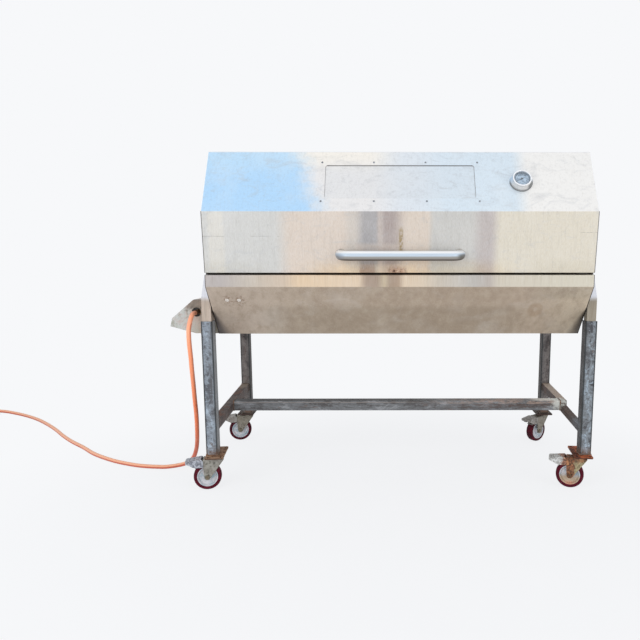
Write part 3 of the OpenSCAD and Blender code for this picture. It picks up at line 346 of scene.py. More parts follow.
def browned_inside(g, colour, height):
    """Steel that smoke and fat have browned where it faces the cooking space."""
    towards = g.add("ShaderNodeVectorMath", {0: (0, 0.46, height), 1: g.position()}, operation="SUBTRACT")
    normal = g.add("ShaderNodeTexCoord", {}, "Normal")
    inward = g.add("ShaderNodeVectorMath", {0: normal, 1: towards}, "Value", operation="DOT_PRODUCT")
    cloud = g.noise(6, 5, 0.65, (1, 1, 1), 0.8)
    runs = g.noise(24, 4, 0.65, (1, 1, 0.15))
    stain = g.mix(g.step(cloud, 0.36, 0.64), srgb(170, 155, 134), srgb(142, 123, 101))
    stain = g.mix(g.times(g.step(runs, 0.50, 0.68), 0.4), stain, srgb(104, 86, 68))
    return g.mix(g.step(inward, 0.01, 0.06), colour, stain)


def hood_steel():
    g = Graph("hood_steel")
    x, y, z = g.axis("X"), g.axis("Y"), g.axis("Z")
    front = mirrored(g, x)
    # the dark bands end just above the handle
    faded = g.times(g.span(z, 1.082, 1.108, 0.020), g.span(x, -0.17, 0.0, 0.03), 0.55)
    front = g.mix(faded, front, srgb(214, 202, 192))
    front = g.mix(g.times(g.span(x, -0.79, -0.745, 0.02), 0.7), front, srgb(224, 221, 214))
    front = g.mix(g.times(g.span(x, -0.087, -0.080, 0.010), 0.5), front, srgb(206, 196, 190))
    # painted warm light from the ground in the panel's lower edge
    low = g.step(z, 1.07, 1.0)
    warm = g.times(low, g.span(x, -0.25, 0.3, 0.25))
    front = g.mix(warm, front, srgb(255, 246, 230), "MULTIPLY")
    # grey under the handle, which keeps the ground's light off
    under = g.times(low, g.span(x, -0.24, 0.30, 0.04), g.step(z, 1.030, 1.040), 0.5)
    front = g.mix(under, front, srgb(245, 225, 198), "MULTIPLY")
    # painted warm light along the panel's lowest strip
    lit = g.times(low, g.step(z, 1.038, 1.028), g.span(x, -0.26, 0.05, 0.03), 0.25)
    front = g.mix(lit, front, srgb(250, 224, 184))
    # a darker strip low on the panel
    dull = g.times(low, g.span(x, -0.165, -0.112, 0.012))
    front = g.mix(dull, front, srgb(226, 212, 208), "MULTIPLY")
    front = g.mix(g.times(low, g.step(g.math("ABSOLUTE", x), 0.45, 0.7)),
                  front, srgb(247, 246, 243), "MULTIPLY")
    # the back panel, and the upper slope, the flat top and the rear slope
    haze = g.step(g.noise(1.6, 3, 0.6), 0.4, 0.62)
    back = g.mix(haze, srgb(196, 196, 195), srgb(212, 212, 210))
    front = g.mix(g.step(y, 0.4, 0.5), front, back)
    rest = g.mix(g.step(z, 1.507, 1.5105), sky_mirrored(g, x, z), srgb(236, 238, 240))
    rest = g.mix(g.step(y, 0.4, 0.5), rest, srgb(222, 224, 226))
    colour = g.mix(g.step(z, 1.2485, 1.2515), front, rest)
    # rust that ran down from the hood's middle and gathered at its edge
    spots = g.noise(60, 4, 0.7)
    near = g.step(y, 0.3, 0.1)
    drip = g.times(
        g.band(x, 0.003, 0.003, 0.010), g.band(z, 1.130, 0.034, 0.030), near,
        g.step(spots, 0.38, 0.55),
    )
    colour = g.mix(g.times(drip, 0.8), colour, srgb(160, 138, 92))
    edge = g.times(g.span(x, -0.03, 0.008, 0.03), g.step(z, 1.040, 1.0), near)
    colour = g.mix(g.times(edge, g.step(spots, 0.36, 0.5), 0.6), colour, srgb(184, 138, 114))
    colour = g.mix(g.times(edge, g.step(spots, 0.52, 0.60), g.step(z, 1.022, 1.008), 0.9),
                   colour, srgb(86, 62, 50))
    # thin scratches along the front panel
    broken = g.step(g.noise(14, 3, 0.7, (1, 1, 0.2)), 0.45, 0.6)
    left = g.times(g.band(z, 1.1485, 0.0004, 0.0010), g.step(x, -0.48, -0.52))
    right = g.times(g.band(z, 1.1640, 0.0004, 0.0010), g.step(x, 0.74, 0.76))
    scratch = g.times(g.math("MAXIMUM", left, right), broken, near)
    colour = g.mix(g.times(scratch, 0.6), colour, srgb(132, 128, 124))
    return brushed(g, browned_inside(g, smeared(g, colour), 1.2))


def window_steel():
    """The cover plate, with the aperture's upper and side edges shading it."""
    g = Graph("window_steel")
    x, z = g.axis("X"), g.axis("Z")
    colour = g.mix(0.25, sky_mirrored(g, x, z), srgb(214, 219, 224))
    colour = g.mix(g.times(g.span(z, 1.4462, 1.4500, 0.0008), 0.85), colour, srgb(112, 114, 120))
    side = g.span(g.math("ABSOLUTE", x), 0.3152, 0.3180, 0.0008)
    colour = g.mix(g.times(side, 0.6), colour, srgb(138, 140, 146))
    return brushed(g, browned_inside(g, smeared(g, colour, 0.4), 1.2))


def away_from(g, x, z):
    """Distance from a point of the front, seen square on."""
    off_x = g.math("SUBTRACT", g.axis("X"), x)
    off_z = g.math("SUBTRACT", g.axis("Z"), z)
    return g.math("SQRT", g.math("ADD", g.times(off_x, off_x), g.times(off_z, off_z)))


def along(g, x):
    """A place along the machine, 0 at its left end and 1 at its right one."""
    return g.math("ADD", g.times(x, 1 / BODY_LENGTH), 0.5)


# Middle of each grimy patch beside the trough's bolts, along and up
BOLTS = ((-0.741, 0.876), (-0.689, 0.876))


def trough_steel():
    g = Graph("trough_steel")
    x, y, z = g.axis("X"), g.axis("Y"), g.axis("Z")
    share = along(g, x)
    lip = g.grade(
        share, (0.04, srgb(190, 184, 182)), (0.11, srgb(202, 194, 184)), (0.20, srgb(213, 198, 182)),
        (0.24, srgb(228, 207, 181)), (0.393, srgb(228, 210, 188)), (0.413, srgb(178, 160, 146)),
        (0.442, srgb(174, 156, 141)), (0.460, srgb(206, 192, 168)), (0.474, srgb(178, 160, 144)),
        (0.495, srgb(182, 162, 144)), (0.511, srgb(224, 207, 186)), (0.56, srgb(222, 208, 190)),
        (0.60, srgb(209, 201, 189)), (0.65, srgb(206, 201, 194)), (0.69, srgb(196, 193, 189)),
        (0.73, srgb(194, 186, 180)), (0.752, srgb(213, 206, 193)),
        (0.97, srgb(215, 210, 196)),
    )
    slope = g.grade(
        share, (0.10, srgb(196, 182, 168)), (0.24, srgb(186, 171, 155)), (0.50, srgb(182, 166, 149)),
        (0.74, srgb(181, 165, 148)), (0.82, srgb(190, 174, 157)), (0.96, srgb(204, 190, 170)),
    )
    streak = g.noise(26, 4, 0.65, (1, 1, 0.08))
    slope = g.mix(g.times(g.step(streak, 0.42, 0.72), 0.5), slope, srgb(164, 147, 130))
    slope = g.mix(g.times(g.step(streak, 0.5, 0.25), 0.5), slope, srgb(200, 187, 171))
    cloud = g.noise(7, 4, 0.6, (1, 1, 1.6), 1.0)
    slope = g.mix(g.times(g.step(cloud, 0.52, 0.72), 0.22), slope, srgb(206, 198, 190))
    low = g.times(g.step(z, 0.868, 0.826), g.span(x, -0.55, 0.50, 0.12))
    slope = g.mix(low, slope, srgb(240, 240, 238), "MULTIPLY")
    high = g.times(g.step(z, 0.870, 0.900), g.step(x, 0.50, 0.66))
    slope = g.mix(high, slope, srgb(241, 242, 243), "MULTIPLY")
    # the dark ground mirrored in the lower corners
    for side, near, spread, tone in ((-1, 0.020, 0.56, (74, 69, 72)), (1, 0.024, 0.46, (66, 60, 54))):
        inside = g.math("SUBTRACT", BODY_LENGTH / 2, g.times(x, side))
        width = g.math("MAXIMUM", g.math("ADD", near, g.times(g.math("SUBTRACT", 0.80, z), spread)), 0.001)
        corner = g.step(g.math("DIVIDE", inside, width), 1.15, 0.1)
        slope = g.mix(g.times(corner, g.step(z, 0.86, 0.83), 0.9), slope, srgb(*tone))
    colour = g.mix(g.step(z, 0.9385, 0.9355), lip, slope)
    colour = g.mix(g.step(y, 0.35, 0.5), colour, srgb(186, 180, 172))
    # one round stain, and grime where fat seeped past the two bolts
    front = g.step(y, 0.3, 0.2)
    stain = g.band(away_from(g, 0.598, 0.831), 0.021, 0.006, 0.012)
    colour = g.mix(g.times(stain, front, 0.32), colour, srgb(160, 132, 102))
    specks = g.step(g.noise(95, 4, 0.7), 0.47, 0.58)
    for bolt in BOLTS:
        seeped = g.times(g.step(away_from(g, *bolt), 0.034, 0.012), specks, front)
        colour = g.mix(g.times(seeped, 0.6), colour, srgb(134, 106, 90))
    return brushed(g, browned_inside(g, colour, 0.95))


HOLE = (-0.923, 0.812)


def guard_steel():
    """Folded guard: pale outside, browned round the hose hole, with near-black painted shade in the hole and
    inside.
    """
    g = Graph("guard_steel")
    x, y, z = g.axis("X"), g.axis("Y"), g.axis("Z")
    cloud = g.noise(16, 5, 0.7, (1, 1, 1), 1.2)
    colour = g.mix(g.step(x, -1.00, -0.90), srgb(204, 206, 204), srgb(186, 176, 164))
    blots = g.noise(48, 4, 0.7)
    colour = g.mix(g.times(g.step(cloud, 0.47, 0.60), 0.55), colour, srgb(196, 174, 164))
    colour = g.mix(g.times(g.step(cloud, 0.46, 0.36), 0.5), colour, srgb(176, 188, 172))
    colour = g.mix(g.times(g.step(blots, 0.52, 0.62), 0.45), colour, srgb(146, 138, 124))
    front = g.step(y, 0.22, 0.20)
    ragged = g.times(g.math("SUBTRACT", blots, 0.5), 0.05)
    across = g.step(g.math("ADD", x, ragged), -0.995, -0.945)
    upper = g.step(g.math("ADD", z, ragged), 0.813, 0.836)
    brown = g.mix(g.step(blots, 0.42, 0.56), srgb(112, 94, 80), srgb(70, 56, 48))
    brown = g.mix(g.times(g.step(z, 0.822, 0.846), 0.6), brown, srgb(160, 146, 134))
    colour = g.mix(g.times(front, across, upper, 0.85), colour, brown)
    # painted shade: near black round the hole's edge, on the hole's walls and on the guard's inner faces
    away = g.math("ADD", away_from(g, *HOLE), g.times(ragged, 0.3))
    rim = g.times(front, g.step(away, 0.0225, 0.0185), 0.9)
    inward = g.math("MAXIMUM", g.step(g.facing("X"), 0.1, 0.3), g.step(g.facing("Z"), -0.1, -0.3))
    far_plate = g.times(g.step(g.facing("Y"), -0.4, -0.6), g.step(y, 0.5, 0.6))
    hole = g.times(g.step(g.math("ABSOLUTE", g.facing("Y")), 0.5, 0.3), g.step(y, 0.215, 0.205), front)
    inner = g.math("MAXIMUM", g.math("MAXIMUM", inward, hole), far_plate)
    return brushed(g, colour, painted_shade=g.math("MAXIMUM", inner, rim))


def edged_steel(name, colour, edge, low_edge, middle):
    """Plate whose narrow front edge is dark with painted shade, most of all low down."""
    g = Graph(name)
    z = g.axis("Z")
    narrow = g.times(
        g.step(g.math("ABSOLUTE", g.facing("X")), 0.6, 0.4), g.step(g.facing("Y"), -0.3, -0.6),
        g.step(z, 1.252, 1.248),
    )
    # painted shade on the narrow front edge, near black low down
    edge_shade = g.mix(g.step(z, 0.885, 0.850), srgb(*edge), srgb(*low_edge))
    painted_shade = g.times(narrow, g.step(z, 0.930, 0.870), 0.9)
    # the sloping edge mirrors the sky
    skyward = g.times(g.step(g.math("ABSOLUTE", g.facing("X")), 0.6, 0.4), g.step(g.facing("Z"), 0.25, 0.45))
    plain = g.mix(skyward, srgb(*colour), srgb(246, 247, 248))
    return brushed(g, browned_inside(g, g.mix(narrow, plain, edge_shade), middle), painted_shade=painted_shade)


def upright_steel():
    """The right-hand uprights stand in more shade than the left-hand ones."""
    g = Graph("upright_steel")
    streak = g.noise(30, 4, 0.6, (1, 1, 0.15))
    x = g.axis("X")
    colour = g.mix(g.step(x, -0.1, 0.1), srgb(198, 184, 172), srgb(161, 153, 139))
    colour = g.mix(g.times(g.step(streak, 0.45, 0.7), 0.5), colour, srgb(152, 142, 130))
    # the chamfered tops mirror the sky
    top = g.step(g.axis("Z"), 0.865, 0.895)
    return brushed(g, g.mix(g.times(top, 0.85), colour, srgb(232, 236, 246)))


def handle_steel():
    """Satin tube that mirrors the sky above and the dark ground below."""
    g = Graph("handle_steel")
    up = g.facing("Z")
    grain = g.noise(500, 2, 0.5, (0.02, 1, 1))
    colour = g.mix(g.step(up, 0.30, 0.62), srgb(198, 213, 227), srgb(246, 247, 248))
    colour = g.mix(g.step(up, 0.86, 0.96), colour, srgb(206, 205, 202))
    colour = g.mix(g.step(up, 0.02, -0.36), colour, srgb(156, 152, 146))
    colour = g.mix(g.step(up, -0.50, -0.85), colour, srgb(84, 74, 66))
    # the bent ends turn away from the sky, the right one into the darkest ground
    across = g.facing("X")
    lower = g.step(up, 0.40, 0.05)
    colour = g.mix(g.times(g.step(across, 0.25, 0.65), lower, 0.8), colour, srgb(92, 90, 84))
    colour = g.mix(g.times(g.step(across, -0.25, -0.65), lower, 0.55), colour, srgb(132, 144, 160))
    colour = g.mix(g.times(g.step(grain, 0.4, 0.7), 0.12), colour, srgb(150, 152, 156))
    return g.shade(colour, 0.32, 0.5, g.bump(grain, 0.00005, 0.4))


def plain_steel(name, colour, rough=0.36, metal=0.55, grain=(1, 1, 0.02)):
    g = Graph(name)
    return brushed(g, srgb(*colour), rough, metal, grain)


def leg_edges(g):
    """1 along the legs' rounded edges, and how much a face looks inwards."""
    x, y = g.axis("X"), g.axis("Y")
    from_x = g.math("ABSOLUTE", g.math("SUBTRACT", g.math("ABSOLUTE", x), LEG_X))
    from_front = g.math("ABSOLUTE", g.math("SUBTRACT", y, LEG_FRONT_Y))
    from_rear = g.math("ABSOLUTE", g.math("SUBTRACT", y, LEG_REAR_Y))
    from_y = g.math("MINIMUM", from_front, from_rear)
    edges = g.times(g.step(from_x, 0.0180, 0.0215), g.step(from_y, 0.0180, 0.0215))
    inward = g.step(g.times(g.facing("X"), x), -0.3, -0.6)
    return edges, inward


def scaled(g, face, pale, dark, rust, share, lengthwise=False):
    """Colour of hot-rolled steel: blue-grey scale in patches, dark spots and rust."""
    if lengthwise:
        patches = g.noise(11, 6, 0.8, (0.7, 1, 2.4), 0.4)
        flecks = g.noise(62, 5, 0.8, (0.35, 1, 1.9), 0.3)
        blotch = g.noise(24, 5, 0.7, (0.4, 1, 1.6), 0.4)
    else:
        patches = g.noise(11, 5, 0.7, (2.2, 2.2, 0.9), 0.7)
        flecks = g.noise(62, 4, 0.75, (0.8, 0.8, 1.3), 0.6)
        blotch = g.noise(24, 5, 0.7, (1, 1, 0.6), 0.8)
    grit = g.noise(230, 4, 0.7)
    colour = g.mix(g.step(patches, 0.49, 0.40), srgb(*face), srgb(*dark))
    colour = g.mix(g.times(g.step(patches, 0.53, 0.62), 0.9), colour, srgb(*pale))
    colour = g.mix(g.times(g.step(flecks, 0.53, 0.62), 0.75), colour, srgb(*dark))
    colour = g.mix(g.times(g.step(flecks, 0.44, 0.34), 0.65), colour, srgb(*pale))
    colour = g.mix(g.times(g.step(blotch, 0.62 - share, 0.74 - share), 0.9), colour, srgb(*rust))
    colour = g.mix(g.times(g.step(grit, 0.5, 0.7), 0.35), colour, srgb(52, 48, 47))
    rough = g.math("ADD", 0.5, g.times(blotch, 0.35))
    bump = g.bump(g.math("ADD", g.times(grit, 0.4), flecks), 0.0008, 0.6)
    return colour, rough, bump


def leg_steel(name, face, pale, dark, rust, share, inner=(62, 58, 57), shade=0.75):
    """A leg: dull scale in front, with painted shade towards its inner side, on that side and along its
    edges.
    """
    g = Graph(name)
    colour, rough, bump = scaled(g, face, pale, dark, rust, share)
    edges, inward = leg_edges(g)
    across = g.math("SUBTRACT", g.math("ABSOLUTE", g.axis("X")), LEG_X)
    # painted shade: the front face darker towards its inner side
    dull = g.times(g.step(across, 0.002, -0.014), g.step(g.facing("Y"), -0.5, -0.8), 0.35)
    colour = g.mix(dull, colour, srgb(92, 92, 93))
    # painted shade on the inner side and along the rounded edges
    colour = g.mix(g.times(inward, shade), colour, srgb(*inner))
    colour = g.mix(g.times(edges, 0.9), colour, srgb(38, 42, 44))
    foot = g.times(g.step(g.axis("Z"), 0.215, 0.175), g.step(g.noise(70, 4, 0.7), 0.35, 0.55))
    colour = g.mix(g.times(foot, 0.7), colour, srgb(112, 84, 66))
    return g.shade(colour, rough, 0.1, bump)


def ground_bright(g, x, y, z):
    """Where the stretcher's right-hand joint was ground back to bare metal."""
    ragged = g.times(g.math("SUBTRACT", g.noise(45, 4, 0.7), 0.5), 0.07)
    off_x = g.math("SUBTRACT", x, 0.828)
    off_y = g.math("SUBTRACT", y, 0.478)
    off_z = g.math("SUBTRACT", z, 0.316)
    squares = g.math("ADD", g.math("ADD", g.times(off_x, off_x), g.times(off_y, off_y)),
                     g.times(off_z, off_z))
    away = g.math("ADD", g.math("SQRT", squares), ragged)
    return g.times(g.step(away, 0.058, 0.030), 0.8)


def rail_steel():
    """Side rails: brown, with painted light on their tops and painted shade on their inner sides."""
    g = Graph("rail_scale")
    colour, rough, bump = scaled(g, (92, 82, 79), (120, 106, 98), (62, 54, 53), (104, 72, 58), 0.12)
    x, y, z = g.axis("X"), g.axis("Y"), g.axis("Z")
    right = g.step(x, -0.1, 0.1)
    # painted light on the top faces, from part way back
    top = g.step(g.facing("Z"), 0.6, 0.9)
    wander = g.times(g.math("SUBTRACT", g.noise(22, 4, 0.65), 0.5), 0.10)
    back = g.math("ADD", y, wander)
    pale_from = g.math("SUBTRACT", 0.70, g.times(right, 0.24))
    pale = g.step(g.math("SUBTRACT", back, pale_from), 0.0, 0.06)
    tone = g.mix(right, srgb(150, 138, 126), srgb(184, 168, 154))
    colour = g.mix(g.times(top, pale, 0.8), colour, tone)
    # the slim front part: rusty near the stretcher, bluish scale near the leg
    slim = g.times(right, g.step(back, 0.47, 0.44))
    colour = g.mix(g.times(slim, 0.75), colour, srgb(68, 50, 40))
    colour = g.mix(g.times(slim, g.step(back, 0.30, 0.20), 0.85), colour, srgb(114, 120, 128))
    # painted shade on the inner sides
    inward = g.step(g.times(g.facing("X"), x), -0.3, -0.6)
    colour = g.mix(g.times(inward, 0.45), colour, srgb(60, 48, 44))
    bright = ground_bright(g, x, y, z)
    return g.shade(g.mix(bright, colour, srgb(214, 216, 210)), rough, 0.1, bump)


def stretcher_steel():
    """The stretcher: dull grey to the left, banded with brown to the right."""
    g = Graph("stretcher_scale")
    x, z = g.axis("X"), g.axis("Z")
    colour, rough, bump = scaled(
        g, (112, 114, 117), (150, 152, 156), (78, 76, 76), (110, 92, 84), 0.02, lengthwise=True)
    right = g.step(x, 0.05, 0.55)
    wander = g.times(g.math("SUBTRACT", g.noise(9, 3, 0.6), 0.5), 0.012)
    height = g.math("ADD", z, wander)
    ribs = g.noise(60, 4, 0.7, (0.4, 1, 1))
    worn = g.noise(36, 5, 0.75, (0.5, 1, 1.8), 0.4)
    upper = g.times(g.step(height, STRETCHER_Z + 0.007, STRETCHER_Z + 0.012), right)
    colour = g.mix(g.times(upper, g.step(worn, 0.40, 0.58), 0.8), colour, srgb(170, 148, 136))
    middle = g.times(g.span(height, STRETCHER_Z - 0.012, STRETCHER_Z + 0.006, 0.004), right)
    colour = g.mix(g.times(middle, g.step(worn, 0.60, 0.42), 0.85), colour, srgb(86, 70, 64))
    colour = g.mix(g.times(g.step(ribs, 0.55, 0.68), right, 0.5), colour, srgb(96, 78, 70))
    line = g.times(g.band(height, STRETCHER_Z + 0.017, 0.001, 0.002), g.step(x, 0.2, 0.0))
    colour = g.mix(g.times(line, 0.5), colour, srgb(160, 150, 144))
    # the top face: darker to the left, and a painted highlight to the right
    edge = g.step(g.facing("Z"), 0.6, 0.9)
    colour = g.mix(g.times(edge, g.step(x, 0.2, -0.1), 0.7), colour, srgb(58, 56, 56))
    colour = g.mix(g.times(edge, g.step(x, 0.66, 0.74), 0.8), colour, srgb(226, 222, 214))
    colour = g.mix(ground_bright(g, x, g.axis("Y"), z), colour, srgb(214, 216, 210))
    return g.shade(colour, rough, 0.1, bump)


def plate_steel():
    """Caster plates: orange rust, strongest at the front right, dark at the rear."""
    g = Graph("plate_rust")
    x, y = g.axis("X"), g.axis("Y")
    blotch = g.noise(34, 6, 0.7, (1, 1, 1), 0.7)
    grit = g.noise(260, 4, 0.7)
    rear = g.step(y, 0.4, 0.5)
    base = g.mix(g.step(x, -0.1, 0.1), srgb(166, 132, 106), srgb(184, 99, 59))
    deep = g.mix(g.step(x, -0.1, 0.1), srgb(104, 74, 52), srgb(96, 44, 26))
    colour = g.mix(g.step(blotch, 0.46, 0.58), base, deep)
    colour = g.mix(g.step(blotch, 0.60, 0.68), colour, srgb(188, 120, 78))
    shaded = g.times(g.span(x, 0.784, 0.812, 0.010), g.step(y, 0.20, 0.16))
    colour = g.mix(g.times(shaded, 0.75), colour, srgb(58, 28, 16))
    colour = g.mix(rear, colour, g.mix(g.step(blotch, 0.4, 0.6), srgb(84, 76, 70), srgb(60, 50, 45)))
    colour = g.mix(g.times(g.step(g.facing("Y"), -0.5, -0.8), 0.8), colour, srgb(54, 32, 27))
    colour = g.mix(g.times(g.step(grit, 0.5, 0.75), 0.3), colour, srgb(70, 48, 38))
    bump = g.bump(g.math("ADD", g.times(grit, 0.5), blotch), 0.0008, 0.7)
    return g.shade(colour, 0.75, 0.05, bump)


def zinc(name, base, bright, dark, share, rust=(140, 84, 52), rust_on=None, spotted=0.0):
    """Dull zinc plating with white bloom, dark spots, and rust where it has worn."""
    g = Graph(name)
    bloom = g.noise(60, 5, 0.65)
    spots = g.noise(90, 4, 0.7)
    worn = g.noise(34, 5, 0.7, (1, 1, 1), 0.8)
    colour = g.mix(g.step(bloom, 0.4, 0.62), srgb(*base), srgb(*bright))
    colour = g.mix(g.times(g.step(spots, 0.53 - spotted, 0.60 - spotted), 0.8), colour, srgb(*dark))
    spread = g.step(worn, 0.66 - share, 0.78 - share)
    if rust_on is not None:
        spread = g.math("MAXIMUM", spread, rust_on(g, worn))
    tone = g.mix(g.step(spots, 0.42, 0.58), srgb(*rust), srgb(*(c * 0.58 for c in rust)))
    tone = g.mix(g.times(g.step(bloom, 0.54, 0.64), 0.8), tone, srgb(204, 142, 98))
    colour = g.mix(g.times(spread, 0.9), colour, tone)
    return g.shade(colour, 0.5, 0.25, g.bump(bloom, 0.0004, 0.5))


def pedal_side_rust(g, worn):
    """Rust on the half of the front right fork beside its pedal, and up under its plate."""
    ragged = g.times(g.math("SUBTRACT", worn, 0.5), 0.10)
    beside = g.step(g.math("ADD", g.axis("X"), ragged), 0.812, 0.800)
    under = g.step(g.math("ADD", g.axis("Z"), ragged), 0.124, 0.138)
    return g.math("MAXIMUM", beside, g.times(under, 0.8))


def fork_end_rust(g, worn):
    """Rust on the front right pedal next to its fork."""
    edge = g.math("ADD", g.axis("X"), g.times(g.math("SUBTRACT", worn, 0.5), 0.06))
    return g.step(edge, 0.745, 0.760)


def wheel_paint(name, rusty):
    g = Graph(name)
    cloud = g.noise(40, 4, 0.6)
    worn = g.noise(55, 5, 0.7, (1, 1, 1), 0.6)
    colour = g.mix(g.step(cloud, 0.35, 0.6), srgb(164, 182, 192), srgb(206, 204, 208))
    colour = g.mix(g.times(g.step(worn, 0.60, 0.72), 0.6), colour, srgb(196, 168, 172))
    if rusty:
        low = g.math("ADD", g.axis("Z"), g.times(g.math("SUBTRACT", worn, 0.5), 0.05))
        colour = g.mix(g.times(g.step(low, 0.070, 0.046), 0.85), colour, srgb(182, 158, 128))
        colour = g.mix(g.times(g.step(low, 0.034, 0.020), 0.8), colour, srgb(204, 146, 124))
    return g.shade(colour, 0.45, 0.15, g.bump(worn, 0.0003, 0.4))


def tyre_rubber():
    g = Graph("tyre_rubber")
    scuff = g.noise(50, 5, 0.7)
    rear = g.step(g.axis("Y"), 0.4, 0.5)
    plain = g.mix(rear, srgb(72, 8, 26), srgb(44, 6, 18))
    colour = g.mix(g.step(scuff, 0.42, 0.68), plain, srgb(94, 22, 38))
    colour = g.mix(g.times(g.step(g.noise(180, 3, 0.6), 0.60, 0.75), 0.3), colour, srgb(120, 76, 78))
    return g.shade(colour, 0.7, 0.0, g.bump(scuff, 0.0004, 0.5), Specular_IOR_Level=0.2)


def hose_rubber():
    g = Graph("hose_rubber")
    z = g.axis("Z")
    dust = g.noise(30, 4, 0.6)
    # painted light: paler higher up towards the guard, and darker low down
    colour = g.mix(g.step(z, 0.60, 0.30), srgb(246, 152, 110), srgb(246, 130, 84))
    colour = g.mix(g.step(z, 0.30, 0.12), colour, srgb(200, 98, 74))
    colour = g.mix(g.step(z, 0.62, 0.76), colour, srgb(248, 168, 132))
    # painted light on the hanging part's left side and painted shade on its right side
    side = g.times(g.facing("X"), g.step(z, 0.06, 0.16), g.step(z, 0.785, 0.765))
    colour = g.mix(g.times(g.step(side, -0.3, -0.9), 0.5), colour, srgb(254, 204, 176))
    colour = g.mix(g.times(g.step(side, 0.35, 0.9), 0.55), colour, srgb(178, 88, 62))
    # painted light: the stretch on the ground is paler on top
    lit = g.times(g.step(g.facing("Z"), -0.1, 0.6), g.step(z, 0.14, 0.05))
    colour = g.mix(g.times(lit, 0.8), colour, srgb(255, 196, 160))
    colour = g.mix(g.times(g.step(dust, 0.5, 0.75), 0.35), colour, srgb(222, 160, 136))
    return g.shade(colour, 0.5, 0.0, g.bump(g.noise(600, 2, 0.5), 0.0001, 0.4))


def soft_metal(name, light, dark, rough, metal, scale=60):
    g = Graph(name)
    cloud = g.noise(scale, 4, 0.6)
    colour = g.mix(g.step(cloud, 0.35, 0.7), srgb(*light), srgb(*dark))
    return g.shade(colour, rough, metal, g.bump(cloud, 0.0002, 0.4))


def on_slope(g):
    """Radius from the thermometer's middle, place up the slope from it, and height off it."""
    back = g.math("SUBTRACT", g.axis("Y"), FOLD_Y)
    up = g.math("SUBTRACT", g.axis("Z"), FOLD_Z)
    run, rise = math.cos(SLOPE_ANGLE), math.sin(SLOPE_ANGLE)
    along_slope = g.math("ADD", g.times(back, run), g.times(up, rise))
    height = g.math("SUBTRACT", g.times(up, run), g.times(back, rise))
    across = g.math("SUBTRACT", g.axis("X"), DIAL_X)
    upward = g.math("SUBTRACT", along_slope, DIAL_UP)
    radius = g.math("SQRT", g.math("ADD", g.times(across, across), g.times(upward, upward)))
    return radius, across, upward, height


def bezel_steel():
    """Polished bezel: a painted highlight on its white rim, painted sky reflection above, a grey lower side
    and painted shade round its foot.
    """
    g = Graph("bezel_steel")
    radius, across, upward, height = on_slope(g)
    colour = g.mix(g.step(upward, -0.030, 0.010), srgb(214, 213, 212), srgb(194, 213, 232))
    colour = g.mix(g.step(upward, 0.010, 0.030), colour, srgb(232, 238, 246))
    # painted shade round the foot, at the lower left and the lower right
    foot = g.times(g.step(height, 0.011, 0.003), g.step(upward, 0.016, -0.012))
    right = g.times(
        g.step(across, 0.018, 0.032), g.step(upward, 0.012, -0.006), g.step(height, 0.024, 0.018))
    colour = g.mix(g.times(g.math("MAXIMUM", foot, right), 0.9), colour, srgb(104, 106, 106))
    # painted highlight along the rim
    colour = g.mix(g.step(height, 0.0270, 0.0285), colour, srgb(250, 251, 254))
    cloud = g.noise(60, 3, 0.6)
    colour = g.mix(g.times(g.step(cloud, 0.5, 0.7), 0.25), colour, srgb(168, 172, 178))
    rough = g.math("ADD", 0.18, g.times(cloud, 0.12))
    return g.shade(colour, rough, 0.5, g.bump(cloud, 0.0001, 0.3))


def dial_paint():
    """Blue-grey dial, shaded under the rim and dull where damp got in."""
    g = Graph("dial_paint")
    radius, across, upward, height = on_slope(g)
    mist = g.noise(90, 4, 0.65)
    colour = g.mix(g.step(mist, 0.42, 0.58), srgb(134, 153, 174), srgb(184, 204, 222))
    colour = g.mix(g.step(upward, 0.010, 0.028), colour, srgb(88, 102, 118))
    ring = g.times(g.step(radius, 0.025, 0.031), g.step(upward, -0.024, -0.004))
    colour = g.mix(g.times(ring, 0.7), colour, srgb(78, 88, 98))
    return g.shade(colour, 0.4, 0.1, g.bump(mist, 0.0001, 0.3))


def black_moulding():
    g = Graph("black_moulding")
    grain = g.noise(700, 3, 0.6)
    colour = g.mix(g.step(grain, 0.4, 0.7), srgb(26, 26, 27), srgb(46, 46, 47))
    return g.shade(colour, 0.55, 0.0, g.bump(grain, 0.0002, 0.5))


def clear_glass():
    g = Graph("dial_glass")
    haze = g.noise(25, 3, 0.6)
    rough = g.math("ADD", 0.04, g.times(haze, 0.10))
    return g.shade(srgb(206, 218, 228), rough, 0.0, Alpha=0.1, Specular_IOR_Level=0.2)


def dress(material, *names):
    for name in names:
        data = NODES[name].data
        data.materials.clear()
        data.materials.append(material)


CASTERS = ("front_left", "front_right", "rear_left", "rear_right")

dress(hood_steel(), "lid_shell")
dress(window_steel(), "window_plate")
dress(trough_steel(), "trough_shell")
dress(edged_steel("end_steel", (206, 205, 204), (104, 102, 102), (104, 102, 102), 1.2),
      "lid_end_left", "lid_end_right")
dress(edged_steel("trough_end_steel", (182, 176, 168), (96, 92, 92), (34, 26, 22), 0.95),
      "trough_end_left", "trough_end_right")
dress(upright_steel(), "uprights_left", "uprights_right")
dress(guard_steel(), "inlet_guard")
dress(plain_steel("inner_steel", (150, 140, 128), 0.45), "tray_ledges", "roasting_tray", "flame_baffles")
dress(plain_steel("hinge_steel", (190, 188, 186)), "hinge_leaves_lower", "hinge_leaves_upper")
dress(handle_steel(), "lid_handle")
dress(soft_metal("bolt_steel", (240, 236, 230), (198, 188, 178), 0.3, 0.7), "trough_bolts", "hinge_pins")
dress(soft_metal("screw_steel", (172, 178, 184), (112, 118, 124), 0.35, 0.6), "window_screws")
dress(leg_steel("leg_scale", (134, 142, 152), (168, 182, 196), (88, 90, 96), (98, 80, 70), 0.02,
                (130, 129, 128), 0.7), "leg_front_left")
dress(leg_steel("right_leg_scale", (124, 130, 136), (170, 186, 200), (68, 68, 72), (92, 72, 60), 0.04),
      "leg_front_right")
